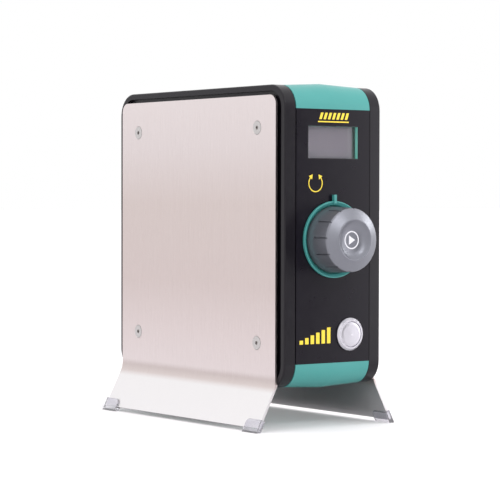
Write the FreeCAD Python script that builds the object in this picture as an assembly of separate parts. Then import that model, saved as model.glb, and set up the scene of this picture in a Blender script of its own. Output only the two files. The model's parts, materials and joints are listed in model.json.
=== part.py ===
"""Benchtop motor drive control unit: an upright box between two splayed steel side plates.

The row frame has +Z up, the front faces -Y and +X is to the right when facing the front.
The origin is on the floor, under the centre of the bounding box.
Depths are measured from the face of the front panel, positive into the housing.
"""
import FreeCAD
import Part
import math
import os

Vector = FreeCAD.Vector

# Housing
BODY_HALF_WIDTH = 40.4
BODY_DEPTH = 200.0
BODY_HEIGHT = 201.0
BODY_BOTTOM_Z = 28.3
CORNER_R = 15.9
CROWN = 1.6
SKIN = 3.1
TONGUE = 1.6
FRAME_INNER_X = 31.25
PANEL_HALF_WIDTH = 30.9
COVER_HALF_WIDTH = 31.1
TONGUE_HALF_WIDTH = 34.0
POCKET_FLOOR_X = 35.2
RECESS_FLOOR_X = 37.7
RIM_WIDTH = 4.0
EDGE_ROUND = 0.9
SEAM_CHAMFER = 0.5

# Steel side plates
PLATE_T = 1.5
PLATE_INNER_X = 40.5
PLATE_FRONT_DEPTH = 8.0
PLATE_REAR_DEPTH = 195.0
PLATE_TOP_DROP = 6.8
PLATE_CORNER_R = 6.5
FLANGE_FRONT_DEPTH = 6.8
FLANGE_SHOULDER_Z = 31.0
BEND_START_Z = 34.5
BEND_INNER_R = 14.0
SPLAY = math.radians(27.0)
FLANGE_BOTTOM_Z = 3.0

# Plate screws and tie bars
SCREW_SPACING_Y = 145.0
SCREW_SPACING_Z = 143.5
SCREW_MID_LIFT = 0.5
SCREW_R = 2.0
SCREW_HOLE_R = 2.25
SCREW_HEAD_R = 4.5
SCREW_LENGTH = 17.0
HEX_KEY = 2.5
BOSS_R = 7.0
TIE_BAR_R = 5.0
THREAD_PLAY = 0.02
HOLE_PLAY = 0.1
SOCKET_DEPTH = 1.8
HEAD_OVERLAP = 1.0

# Bumpers on the flange corners
BUMPER_LENGTH = 15.5
BUMPER_WALL = 1.1
BUMPER_END = 0.9
BUMPER_RISE = 6.0
BUMPER_SOLE = 4.5
BUMPER_CORNER_R = 3.5
BUMPER_EDGE_R = 0.5
BUMPER_PLAY = 0.05

# Knob, ring and encoder
KNOB_Z = 126.6
KNOB_BASE_DEPTH = 0.4
KNOB_BASE_R = 22.0
KNOB_RIM_DEPTH = -18.9
KNOB_RIM_R = 21.25
RIM_ROUND = 1.5
RIM_ROUND_TURN = math.radians(64.0)
KNOB_REACH = 23.5
LIP_R = 13.5
LIP_HALF = 0.65
LIP_DROP = 0.3
KNOB_EDGE = 0.4
CAVITY_BEVEL = 2.0
DISH_DEPTH = -19.7
DISH_FLAT_R = 4.0
KNOB_CAVITY_R = 18.6
KNOB_CAVITY_DEPTH = -15.5
KNOB_HUB_R = 6.5
KNOB_HUB_DEPTH = -4.2
GROOVES = 12
GROOVE_TURN = 4.0
GROOVE_WIDTH = 0.9
GROOVE_CUT = 0.6
GROOVE_START = -7.1
GRUB_DEPTH = -7.5
GRUB_R = 1.5
RING_R = 25.6
RING_RIM_WIDTH = 0.7
RING_FRONT_DEPTH = -2.2
RING_BACK_DEPTH = -0.3
RING_SLOPE_R = 23.2
RING_SLOPE_DEPTH = -0.9
RING_WELL_R = 22.5
RING_WELL_DEPTH = 0.6
RING_FLOOR_DEPTH = 1.8
SLEEVE_OUTER_R = 23.9
SLEEVE_INNER_R = 20.6
SLEEVE_END_DEPTH = 6.0
RING_HOLE_R = 24.2
TAB_WIDTH = 2.1
TAB_LOW_Z = 24.0
TAB_HIGH_Z = 29.9
TAB_FRONT_DEPTH = -2.7
RETAINER_OUTER_R = 25.6
RETAINER_GROOVE_R = 23.2
MAGNET_R = 0.9
RETAINER_START = 4.9
RETAINER_END = 5.7
COLLAR_PLAY = 0.05
COLLAR_FLANGE_R = 30.5
COLLAR_FLANGE_START = 6.4
COLLAR_FLANGE_END = 8.0
COLLAR_PAD_R = 3.0
COLLAR_PAD_CIRCLE = 29.0
BUSHING_R = 4.5
BUSHING_END_DEPTH = 0.2
COLLAR_FRONT_DEPTH = 2.0
ENCODER_HALF = 6.2
ENCODER_FRONT_DEPTH = 8.1
BOARD_DEPTH = 13.0
BOARD_T = 1.6
CONTROL_BOARD_HALF_WIDTH = 28.5
CONTROL_BOARD_LOW_Z = 84.0
CONTROL_BOARD_HIGH_Z = 207.0
ENCODER_NUT_ACROSS_FLATS = 11.0
SHAFT_R = 3.0
SHAFT_PLAY = 0.05
SHAFT_FRONT_DEPTH = -14.0
SHAFT_END_DEPTH = 9.0
PLUNGER_R = 3.2

# Display
LCD_Z = 191.3
LCD_HALF_WIDTH = 21.5
LCD_HALF_HEIGHT = 11.2
DISPLAY_BEZEL_WALL = 0.6
DISPLAY_BEZEL_SET_BACK = 0.15
WINDOW_PLAY = 0.2
GLASS_T = 1.6
GLASS_PLAY = 0.05
WINDOW_LAP = 1.6
MODULE_LAP = 3.2

# Power button
BUTTON_X = 14.1
BUTTON_Z = 62.9
BEZEL_R = 11.0
BEZEL_DEPTH = -2.2
BUTTON_BARREL_R = 9.4
BUTTON_HOLE_R = 9.6
BUTTON_BARREL_END = 17.0
CAP_R = 8.6
CAP_PLAY = 0.08
CAP_FRONT_DEPTH = -2.5
CAP_END_DEPTH = 4.0
CAP_HOLLOW_R = 5.5
CAP_FLOOR_DEPTH = 0.5
CAP_STOP = 0.6
BARREL_WALL = 2.0
BEZEL_BEVEL = 1.2
SPRING_WIRE_R = 0.3
SPRING_COIL_R = 4.4
SPRING_COILS = 5
SPRING_PLAY = 0.05
SEAL_T = 0.3
BUTTON_NUT_T = 3.0
BUTTON_NUT_ACROSS_FLATS = 23.0

# Rear panel fittings
INLET_Z = 80.0
INLET_HALF_WIDTH = 25.0
INLET_HALF_HEIGHT = 18.0
INLET_FLANGE_T = 2.5
INLET_BODY_DEPTH = 16.0
INLET_BODY_HALF_WIDTH = 15.0
INLET_BODY_HALF_HEIGHT = 16.0
INLET_CAVITY_LIFT = 5.0
INLET_CAVITY_HALF_WIDTH = 12.2
INLET_CAVITY_HALF_HEIGHT = 8.2
INLET_CAVITY_CUT = 4.5
INLET_NUT_T = 2.4
INLET_NUT_ACROSS_FLATS = 5.5
FUSE_DROP = 11.0
FUSE_HALF_WIDTH = 12.0
FUSE_HALF_HEIGHT = 4.5
FUSE_TROUGH_HALF = 2.9
FUSE_R = 2.6
DRAWER_PLAY = 0.3
MOTOR_X = -12.0
MOTOR_Z = 140.0
MOTOR_COLLAR_R = 13.5
MOTOR_CAVITY_R = 9.0
MOTOR_COLLAR_STEP = 2.5
MOTOR_BARREL_DEPTH = 12.0
MOTOR_INSERT_DEPTH = 5.0
MOTOR_PIN_CIRCLE = 5.0
MOTOR_PIN_R = 0.8
MOTOR_NUT_T = 3.0
MOTOR_NUT_ACROSS_FLATS = 27.0
REAR_REACH = 8.0
EARTH_X = 18.0
EARTH_Z = 118.0
EARTH_R = 2.5
EARTH_REACH = 7.5
EARTH_INSIDE = 9.0
EARTH_NUT_T = 3.5
EARTH_NUT_ACROSS_FLATS = 8.0
VENT_SLOTS = 7
VENT_PITCH = 7.0
VENT_LOW_Z = 166.0
VENT_HALF_WIDTH = 21.0
VENT_HEIGHT = 3.0

# Inner chassis and boards
CHASSIS_T = 1.5
CHASSIS_FRONT_DEPTH = 48.0
CHASSIS_REAR_DEPTH = 162.0
CHASSIS_TOP_Z = 204.0
BOARD_X = 8.4
SUPPLY_TOP_Z = 176.0
DRIVE_TOP_Z = 196.0
INNER_BOARD_LOW_Z = 46.0
STANDOFF_R = 2.75
SMALL_SCREW_R = 1.5
SMALL_HEAD_R = 2.75
SMALL_HEAD_T = 1.8
STANDOFF_INSET = 6.0
CHASSIS_SCREW_BITE = 3.2
TRANSFORMER_T = 22.0
CORE_T = 19.0
SUPPLY_CAPACITOR_R = 9.0
DRIVE_CAPACITOR_R = 7.5
SUPPLY_CAPACITOR_LENGTH = 20.0
DRIVE_CAPACITOR_LENGTH = 18.0
CHOKE_T = 16.0
HEAT_SINK_T = 20.0
HEAT_SINK_BASE = 4.0
FIN_T = 2.0
SUPPLY_FINS = 6
SUPPLY_FIN_PITCH = 10.0
DRIVE_FINS = 9
DRIVE_FIN_PITCH = 8.0
MAINS_LEAD_R = 1.1
MOTOR_LEAD_R = 2.4
PANEL_LEAD_R = 1.8
BUTTON_LEAD_R = 1.0

# Derived places
FRONT_Y = (KNOB_REACH - BODY_DEPTH - REAR_REACH) / 2
REAR_Y = FRONT_Y + BODY_DEPTH
BODY_TOP_Z = BODY_BOTTOM_Z + BODY_HEIGHT
PANEL_LOW_Z = BODY_BOTTOM_Z + CORNER_R
PANEL_HIGH_Z = BODY_TOP_Z - CORNER_R
PLATE_OUTER_X = PLATE_INNER_X + PLATE_T
PLATE_MID_Y = FRONT_Y + (PLATE_FRONT_DEPTH + PLATE_REAR_DEPTH) / 2
PLATE_REAR_Y = FRONT_Y + PLATE_REAR_DEPTH
FLANGE_FRONT_Y = FRONT_Y + FLANGE_FRONT_DEPTH
SCREW_MID_Z = (BODY_BOTTOM_Z + BODY_TOP_Z) / 2 + SCREW_MID_LIFT
PANEL_BACK = SKIN + TONGUE


def box(x0, x1, y0, y1, z0, z1):
    """A box between two corners."""
    return Part.makeBox(x1 - x0, y1 - y0, z1 - z0, Vector(x0, y0, z0))


def rod_x(x0, x1, y, z, radius):
    """A round bar along X."""
    return Part.makeCylinder(radius, x1 - x0, Vector(x0, y, z), Vector(1, 0, 0))


def rod_y(d0, d1, x, z, radius):
    """A round bar along Y between two depths behind the front panel's face."""
    return Part.makeCylinder(radius, d1 - d0, Vector(x, FRONT_Y + d0, z), Vector(0, 1, 0))


def block(x0, x1, d0, d1, z0, z1):
    """A box whose Y limits are depths behind the front panel's face."""
    return box(x0, x1, FRONT_Y + d0, FRONT_Y + d1, z0, z1)


def edges_along(shape, axis):
    """The straight edges of a shape that run along one axis."""
    found = []
    for edge in shape.Edges:
        if edge.Curve.TypeId != "Part::GeomLine":
            continue
        if abs(edge.Curve.Direction.dot(axis)) > 0.999:
            found.append(edge)
    return found


def slab_x(x0, x1, d0, d1, z0, z1, radius):
    """A slab across X with its four X edges rounded."""
    slab = block(x0, x1, d0, d1, z0, z1)
    return slab.makeFillet(radius, edges_along(slab, Vector(1, 0, 0)))


def slab_y(x0, x1, d0, d1, z0, z1, radius):
    """A slab across Y with its four Y edges rounded."""
    slab = block(x0, x1, d0, d1, z0, z1)
    return slab.makeFillet(radius, edges_along(slab, Vector(0, 1, 0)))


def turned(points, x, z):
    """A turned solid about a Y axis, from a closed outline of (radius, depth) points."""
    corners = [Vector(radius, depth, 0) for radius, depth in points]
    outline = Part.makePolygon(corners + [corners[0]])
    solid = Part.Face(outline).revolve(Vector(0, 0, 0), Vector(0, 1, 0), 360)
    solid.translate(Vector(x, FRONT_Y, z))
    return solid


def hexagon_y(d0, d1, x, z, across_flats):
    """A hexagonal bar along Y."""
    corner = across_flats / math.sqrt(3)
    points = []
    for index in range(7):
        angle = math.radians(60 * index)
        points.append(Vector(x + corner * math.cos(angle), FRONT_Y + d0, z + corner * math.sin(angle)))
    return Part.Face(Part.makePolygon(points)).extrude(Vector(0, d1 - d0, 0))


def mirrored(shape):
    """The same shape on the other side of the YZ plane."""
    return shape.mirror(Vector(0, 0, 0), Vector(1, 0, 0))


def group(shapes):
    """Separate solids kept in one node."""
    return Part.makeCompound(shapes)


def save(name, shape):
    """Write one node."""
    shape.exportStep("parts/" + name + ".step")


def plate_screw_places():
    """(y, z) of the four screws on one side plate."""
    places = []
    for sign_y in (-1, 1):
        for sign_z in (-1, 1):
            y = PLATE_MID_Y + sign_y * SCREW_SPACING_Y / 2
            z = SCREW_MID_Z + sign_z * SCREW_SPACING_Z / 2
            places.append((y, z))
    return places


def countersink(y, z, play):
    """The tapered head space of a plate screw, wide end level with the plate's outer face."""
    depth = SCREW_HEAD_R - SCREW_R
    tip = Vector(PLATE_OUTER_X - depth, y, z)
    return Part.makeCone(SCREW_R + play, SCREW_HEAD_R + play, depth, tip, Vector(1, 0, 0))


def side_frame():
    """Right moulded side frame: outer rim, sunken wall for the steel plate, inner pocket."""
    frame = slab_x(FRAME_INNER_X, BODY_HALF_WIDTH, 0, BODY_DEPTH, BODY_BOTTOM_Z, BODY_TOP_Z, CORNER_R)
    outer_edges = [e for e in frame.Edges if e.BoundBox.XMin > BODY_HALF_WIDTH - 0.01]
    frame = frame.makeFillet(EDGE_ROUND, outer_edges)
    inner_edges = [e for e in frame.Edges if e.BoundBox.XMax < FRAME_INNER_X + 0.01]
    frame = frame.makeChamfer(SEAM_CHAMFER, inner_edges)
    recess = slab_x(RECESS_FLOOR_X, BODY_HALF_WIDTH + 1, RIM_WIDTH, BODY_DEPTH - RIM_WIDTH,
                    BODY_BOTTOM_Z + RIM_WIDTH, BODY_TOP_Z - RIM_WIDTH, CORNER_R - RIM_WIDTH)
    pocket = slab_x(FRAME_INNER_X - 1, POCKET_FLOOR_X, SKIN, BODY_DEPTH - SKIN,
                    BODY_BOTTOM_Z + SKIN, BODY_TOP_Z - SKIN, CORNER_R - SKIN)
    frame = frame.cut(recess).cut(pocket)
    for y, z in plate_screw_places():
        frame = frame.fuse(rod_x(POCKET_FLOOR_X, PLATE_INNER_X, y, z, BOSS_R))
    for y, z in plate_screw_places():
        frame = frame.cut(rod_x(POCKET_FLOOR_X - 1, PLATE_INNER_X + 1, y, z, SCREW_HOLE_R))
        frame = frame.cut(countersink(y, z, SCREW_HOLE_R - SCREW_R))
    return frame.removeSplitter()


def plate_profile():
    """XZ outline of the bent side plate: upright, an easy bend, and a splayed flange."""
    top = BODY_TOP_Z - PLATE_TOP_DROP
    centre = Vector(PLATE_OUTER_X + BEND_INNER_R, 0, BEND_START_Z)

    def on_bend(radius, angle):
        return centre + Vector(-radius * math.cos(angle), 0, -radius * math.sin(angle))

    outer_r = BEND_INNER_R
    inner_r = BEND_INNER_R + PLATE_T
    outer_end = on_bend(outer_r, SPLAY)
    run = (outer_end.z - FLANGE_BOTTOM_Z) / math.cos(SPLAY)
    slope = Vector(math.sin(SPLAY), 0, -math.cos(SPLAY)) * run
    inner_end = on_bend(inner_r, SPLAY)
    edges = [
        Part.makeLine(Vector(PLATE_OUTER_X, 0, top), on_bend(outer_r, 0)),
        Part.Arc(on_bend(outer_r, 0), on_bend(outer_r, SPLAY / 2), outer_end).toShape(),
        Part.makeLine(outer_end, outer_end + slope),
        Part.makeLine(outer_end + slope, inner_end + slope),
        Part.makeLine(inner_end + slope, inner_end),
        Part.Arc(inner_end, on_bend(inner_r, SPLAY / 2), on_bend(inner_r, 0)).toShape(),
        Part.makeLine(on_bend(inner_r, 0), Vector(PLATE_INNER_X, 0, top)),
        Part.makeLine(Vector(PLATE_INNER_X, 0, top), Vector(PLATE_OUTER_X, 0, top)),
    ]
    return Part.Face(Part.Wire(edges))


def side_plate():
    """Right steel side plate, bent out at the bottom into a foot flange."""
    face = plate_profile()
    face.translate(Vector(0, FLANGE_FRONT_Y, 0))
    sheet = face.extrude(Vector(0, PLATE_REAR_Y - FLANGE_FRONT_Y, 0))
    wide = BODY_HALF_WIDTH * 2
    top = BODY_TOP_Z - PLATE_TOP_DROP
    upper = slab_x(0, wide, PLATE_FRONT_DEPTH, PLATE_REAR_DEPTH, 0, top, PLATE_CORNER_R)
    lower = block(0, wide, FLANGE_FRONT_DEPTH, PLATE_REAR_DEPTH, -PLATE_T, FLANGE_SHOULDER_Z)
    sheet = sheet.common(upper.fuse(lower))
    for y, z in plate_screw_places():
        sheet = sheet.cut(rod_x(0, wide, y, z, SCREW_HOLE_R))
        sheet = sheet.cut(countersink(y, z, SCREW_HOLE_R - SCREW_R))
    return sheet.removeSplitter()


def plate_screws():
    """Four countersunk screws with hexagon sockets, for the right plate."""
    screws = []
    for y, z in plate_screw_places():
        shank = rod_x(PLATE_OUTER_X - SCREW_LENGTH, PLATE_OUTER_X - HEAD_OVERLAP, y, z, SCREW_R)
        head = countersink(y, z, 0)
        screw = shank.fuse(head)
        socket = hexagon_y(0, SOCKET_DEPTH + 1, 0, 0, HEX_KEY)
        socket.translate(Vector(0, -FRONT_Y, 0))
        socket.rotate(Vector(0, 0, 0), Vector(0, 0, 1), -90)
        socket.translate(Vector(PLATE_OUTER_X - SOCKET_DEPTH, y, z))
        screws.append(screw.cut(socket))
    return screws


def tie_bars():
    """Four bars across the housing, tapped at both ends for the plate screws."""
    bars = []
    depth = POCKET_FLOOR_X - (PLATE_OUTER_X - SCREW_LENGTH) + 1
    for y, z in plate_screw_places():
        bar = rod_x(-POCKET_FLOOR_X, POCKET_FLOOR_X, y, z, TIE_BAR_R)
        bar = bar.cut(rod_x(POCKET_FLOOR_X - depth, POCKET_FLOOR_X, y, z, SCREW_R + THREAD_PLAY))
        bar = bar.cut(rod_x(-POCKET_FLOOR_X, depth - POCKET_FLOOR_X, y, z, SCREW_R + THREAD_PLAY))
        bars.append(bar)
    return group(bars)


def bumper(front):
    """Clear shoe that wraps a bottom corner of the right flange."""
    sign = -1 if front else 1
    edge_y = FLANGE_FRONT_Y if front else PLATE_REAR_Y
    ends = sorted((edge_y + sign * BUMPER_END, edge_y - sign * BUMPER_LENGTH))
    slot_ends = sorted((edge_y + sign * BUMPER_PLAY, edge_y - sign * (BUMPER_LENGTH + 1)))
    outer_end_x = PLATE_OUTER_X + BEND_INNER_R * (1 - math.cos(SPLAY))
    outer_end_z = BEND_START_Z - BEND_INNER_R * math.sin(SPLAY)
    foot_x = outer_end_x + (outer_end_z - FLANGE_BOTTOM_Z) * math.tan(SPLAY)
    shell = box(-PLATE_T - BUMPER_WALL, BUMPER_WALL, ends[0], ends[1], -BUMPER_SOLE, BUMPER_RISE)
    inner_end_y = edge_y - sign * BUMPER_LENGTH
    top_edges = [e for e in edges_along(shell, Vector(1, 0, 0))
                 if e.BoundBox.ZMin > 0 and abs(e.BoundBox.YMin - inner_end_y) < BUMPER_PLAY]
    shell = shell.makeFillet(BUMPER_CORNER_R, top_edges)
    shell = shell.makeFillet(BUMPER_EDGE_R, edges_along(shell, Vector(0, 0, 1)))
    slot = box(-PLATE_T - BUMPER_PLAY, BUMPER_PLAY, slot_ends[0], slot_ends[1],
               -BUMPER_PLAY, BUMPER_RISE + 1)
    shoe = shell.cut(slot)
    shoe.rotate(Vector(0, 0, 0), Vector(0, 1, 0), -math.degrees(SPLAY))
    shoe.translate(Vector(foot_x, 0, FLANGE_BOTTOM_Z))
    return shoe.cut(box(0, foot_x * 2, FRONT_Y * 3, REAR_Y * 3, -BUMPER_SOLE * 2, 0))


def cover_wire(x, rise):
    """Closed YZ section of the top cover at one X, with its top raised for the crown."""
    turn = math.sqrt(0.5)

    def corner(depth, sign, skin):
        radius = CORNER_R - skin
        height = radius + rise
        low = Vector(x, FRONT_Y + depth - sign * radius, PANEL_HIGH_Z)
        middle = Vector(x, FRONT_Y + depth - sign * radius * turn, PANEL_HIGH_Z + height * turn)
        high = Vector(x, FRONT_Y + depth, PANEL_HIGH_Z + height)
        return low, middle, high

    front_out = corner(CORNER_R, 1, 0)
    rear_out = corner(BODY_DEPTH - CORNER_R, -1, 0)
    front_in = corner(CORNER_R, 1, SKIN)
    rear_in = corner(BODY_DEPTH - CORNER_R, -1, SKIN)
    return Part.Wire([
        Part.Arc(*front_out).toShape(),
        Part.makeLine(front_out[2], rear_out[2]),
        Part.Arc(*reversed(rear_out)).toShape(),
        Part.makeLine(rear_out[0], rear_in[0]),
        Part.Arc(*rear_in).toShape(),
        Part.makeLine(rear_in[2], front_in[2]),
        Part.Arc(*reversed(front_in)).toShape(),
        Part.makeLine(front_in[0], front_out[0]),
    ])


def top_cover():
    """Crowned cover that turns down into both panels, with tongues for the side frames."""
    wires = [cover_wire(-COVER_HALF_WIDTH, 0), cover_wire(0, CROWN), cover_wire(COVER_HALF_WIDTH, 0)]
    shell = Part.makeLoft(wires, True, True)
    tongue = block(-TONGUE_HALF_WIDTH, TONGUE_HALF_WIDTH, CORNER_R, BODY_DEPTH - CORNER_R,
                   BODY_TOP_Z - SKIN - TONGUE, BODY_TOP_Z - SKIN)
    ledge = block(-COVER_HALF_WIDTH, COVER_HALF_WIDTH, CORNER_R, BODY_DEPTH - CORNER_R,
                  BODY_TOP_Z - SKIN - TONGUE, BODY_TOP_Z - SKIN + CROWN)
    return shell.fuse(tongue).fuse(ledge).removeSplitter()


def bottom_cover():
    """The top cover turned over, with screw holes for the chassis plate."""
    middle = (BODY_BOTTOM_Z + BODY_TOP_Z) / 2
    cover = top_cover().mirror(Vector(0, 0, middle), Vector(0, 0, 1))
    for x, y in chassis_screw_places():
        floor = BODY_BOTTOM_Z + SKIN + TONGUE
        start = Vector(x, y, floor - CHASSIS_SCREW_BITE)
        cover = cover.cut(Part.makeCylinder(SMALL_SCREW_R + THREAD_PLAY, CHASSIS_SCREW_BITE, start))
    return cover


def blank_panel(front):
    """A flat panel with a wider backing leaf that the side frames trap."""
    if front:
        face = block(-PANEL_HALF_WIDTH, PANEL_HALF_WIDTH, 0, SKIN, PANEL_LOW_Z, PANEL_HIGH_Z)
        leaf = block(-TONGUE_HALF_WIDTH, TONGUE_HALF_WIDTH, SKIN, PANEL_BACK, PANEL_LOW_Z, PANEL_HIGH_Z)
        return face.fuse(leaf)
    rear = BODY_DEPTH
    face = block(-PANEL_HALF_WIDTH, PANEL_HALF_WIDTH, rear - SKIN, rear, PANEL_LOW_Z, PANEL_HIGH_Z)
    leaf = block(-TONGUE_HALF_WIDTH, TONGUE_HALF_WIDTH, rear - PANEL_BACK, rear - SKIN,
                 PANEL_LOW_Z, PANEL_HIGH_Z)
    return face.fuse(leaf)


def front_panel():
    """Front panel with openings for the display, the direction ring and the power button."""
    panel = blank_panel(True)
    through = PANEL_BACK + 1
    panel = panel.cut(block(-LCD_HALF_WIDTH, LCD_HALF_WIDTH, -1, through,
                            LCD_Z - LCD_HALF_HEIGHT, LCD_Z + LCD_HALF_HEIGHT))
    lap = WINDOW_LAP + HOLE_PLAY
    panel = panel.cut(block(-LCD_HALF_WIDTH - lap, LCD_HALF_WIDTH + lap, SKIN, through,
                            LCD_Z - LCD_HALF_HEIGHT - lap, LCD_Z + LCD_HALF_HEIGHT + lap))
    panel = panel.cut(rod_y(-1, through, 0, KNOB_Z, RING_HOLE_R))
    panel = panel.cut(rod_y(-1, through, BUTTON_X, BUTTON_Z, BUTTON_HOLE_R))
    for x, z in board_standoff_places():
        panel = panel.cut(rod_y(SKIN, through, x, z, SMALL_SCREW_R + THREAD_PLAY))
    for x, z in collar_screw_places():
        panel = panel.cut(rod_y(SKIN, through, x, z, SMALL_SCREW_R + THREAD_PLAY))
    return panel.removeSplitter()


def rear_panel():
    """Rear panel with the mains inlet, motor socket and earth stud cut-outs and vent slots."""
    panel = blank_panel(False)
    inside = BODY_DEPTH - PANEL_BACK - 1
    outside = BODY_DEPTH + 1
    inlet_w = INLET_BODY_HALF_WIDTH + HOLE_PLAY
    inlet_h = INLET_BODY_HALF_HEIGHT + HOLE_PLAY
    panel = panel.cut(block(-inlet_w, inlet_w, inside, outside, INLET_Z - inlet_h, INLET_Z + inlet_h))
    for x, z in inlet_screw_places():
        panel = panel.cut(rod_y(inside, outside, x, z, SMALL_SCREW_R + HOLE_PLAY * 2))
    motor_hole_r = MOTOR_COLLAR_R - MOTOR_COLLAR_STEP + HOLE_PLAY
    panel = panel.cut(rod_y(inside, outside, MOTOR_X, MOTOR_Z, motor_hole_r))
    panel = panel.cut(rod_y(inside, outside, EARTH_X, EARTH_Z, EARTH_R + HOLE_PLAY * 2))
    for index in range(VENT_SLOTS):
        low = VENT_LOW_Z + index * VENT_PITCH
        slot = slab_y(-VENT_HALF_WIDTH, VENT_HALF_WIDTH, inside, outside, low, low + VENT_HEIGHT,
                      VENT_HEIGHT / 2 - 0.01)
        panel = panel.cut(slot)
    return panel.removeSplitter()


def display_bezel():
    """Thin teal liner around the wall of the display opening."""
    outer = block(-LCD_HALF_WIDTH, LCD_HALF_WIDTH, DISPLAY_BEZEL_SET_BACK, SKIN,
                  LCD_Z - LCD_HALF_HEIGHT, LCD_Z + LCD_HALF_HEIGHT)
    w = LCD_HALF_WIDTH - DISPLAY_BEZEL_WALL
    h = LCD_HALF_HEIGHT - DISPLAY_BEZEL_WALL
    return outer.cut(block(-w, w, -1, PANEL_BACK, LCD_Z - h, LCD_Z + h))


def display_window():
    """Clear window in the pocket behind the display opening."""
    w = LCD_HALF_WIDTH + WINDOW_LAP
    h = LCD_HALF_HEIGHT + WINDOW_LAP
    return block(-w, w, SKIN, PANEL_BACK - WINDOW_PLAY, LCD_Z - h, LCD_Z + h)


def display_glass():
    """Liquid crystal cell behind the window."""
    w = LCD_HALF_WIDTH + WINDOW_LAP
    h = LCD_HALF_HEIGHT + WINDOW_LAP
    return block(-w, w, PANEL_BACK, PANEL_BACK + GLASS_T, LCD_Z - h, LCD_Z + h)


def display_module():
    """Backlight tray that carries the glass in front of the control board."""
    w = LCD_HALF_WIDTH + MODULE_LAP
    h = LCD_HALF_HEIGHT + MODULE_LAP
    front = PANEL_BACK + HOLE_PLAY
    tray = block(-w, w, front, BOARD_DEPTH, LCD_Z - h, LCD_Z + h)
    well_w = LCD_HALF_WIDTH + WINDOW_LAP + GLASS_PLAY
    well_h = LCD_HALF_HEIGHT + WINDOW_LAP + GLASS_PLAY
    return tray.cut(block(-well_w, well_w, front - 1, PANEL_BACK + GLASS_T,
                          LCD_Z - well_h, LCD_Z + well_h))


def board_standoff_places():
    """(x, z) of the spacers between the front panel and the control board."""
    return [(x, z) for x in (-25.0, 25.0) for z in (89.0, 168.0)]


def board_standoffs():
    """Four spacers with a stud that screws into the panel's backing leaf."""
    spacers = []
    for x, z in board_standoff_places():
        spacer = rod_y(PANEL_BACK, BOARD_DEPTH, x, z, STANDOFF_R)
        spacer = spacer.fuse(rod_y(SKIN, PANEL_BACK, x, z, SMALL_SCREW_R))
        spacers.append(spacer.cut(rod_y(BOARD_DEPTH - 5, BOARD_DEPTH, x, z, SMALL_SCREW_R + THREAD_PLAY)))
    return group(spacers)


def board_screws():
    """Four pan-head screws that hold the control board on its spacers."""
    screws = []
    back = BOARD_DEPTH + BOARD_T
    for x, z in board_standoff_places():
        head = rod_y(back, back + SMALL_HEAD_T, x, z, SMALL_HEAD_R)
        screws.append(head.fuse(rod_y(BOARD_DEPTH - 4, back, x, z, SMALL_SCREW_R)))
    return group(screws)


def control_board():
    """Circuit board behind the front panel."""
    board = block(-CONTROL_BOARD_HALF_WIDTH, CONTROL_BOARD_HALF_WIDTH, BOARD_DEPTH, BOARD_DEPTH + BOARD_T,
                  CONTROL_BOARD_LOW_Z, CONTROL_BOARD_HIGH_Z)
    for x, z in board_standoff_places():
        board = board.cut(rod_y(0, BOARD_DEPTH + 5, x, z, SMALL_SCREW_R + HOLE_PLAY))
    return board


def control_board_parts():
    """Processor, driver and header on the back of the control board."""
    back = BOARD_DEPTH + BOARD_T
    return group([
        block(-6, 6, back, back + 1.6, 150, 162),
        block(-16, -10, back, back + 1.4, 132, 142),
        block(6, 22, back, back + 6, 140, 146),
        block(-20, -8, back, back + 3, 96, 104),
    ])


def ring_collar():
    """Fixed hub that the direction ring turns on; the encoder's bushing clamps it."""
    hub_r = SLEEVE_INNER_R - COLLAR_PLAY
    collar = rod_y(COLLAR_FRONT_DEPTH, COLLAR_FLANGE_END, 0, KNOB_Z, hub_r)
    collar = collar.fuse(rod_y(COLLAR_FLANGE_START, COLLAR_FLANGE_END, 0, KNOB_Z, COLLAR_FLANGE_R))
    for x, z in collar_screw_places():
        collar = collar.fuse(rod_y(PANEL_BACK, COLLAR_FLANGE_END, x, z, COLLAR_PAD_R))
    bore_r = BUSHING_R + HOLE_PLAY
    collar = collar.cut(rod_y(COLLAR_FRONT_DEPTH - 1, COLLAR_FLANGE_END + 1, 0, KNOB_Z, bore_r))
    for x, z in collar_screw_places():
        collar = collar.cut(rod_y(PANEL_BACK - 1, COLLAR_FLANGE_END + 1, x, z, SMALL_SCREW_R + HOLE_PLAY))
    return collar.removeSplitter()


def collar_screw_places():
    """(x, z) of the three screws that hold the ring collar behind the panel."""
    places = []
    for index in range(3):
        angle = math.radians(90 + 120 * index)
        places.append((COLLAR_PAD_CIRCLE * math.cos(angle), KNOB_Z + COLLAR_PAD_CIRCLE * math.sin(angle)))
    return places


def collar_screws():
    """Three screws through the collar's pads into the backing leaf."""
    screws = []
    for x, z in collar_screw_places():
        head = rod_y(COLLAR_FLANGE_END, COLLAR_FLANGE_END + SMALL_HEAD_T, x, z, SMALL_HEAD_R)
        screws.append(head.fuse(rod_y(SKIN + 0.1, COLLAR_FLANGE_END, x, z, SMALL_SCREW_R)))
    return group(screws)


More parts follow.
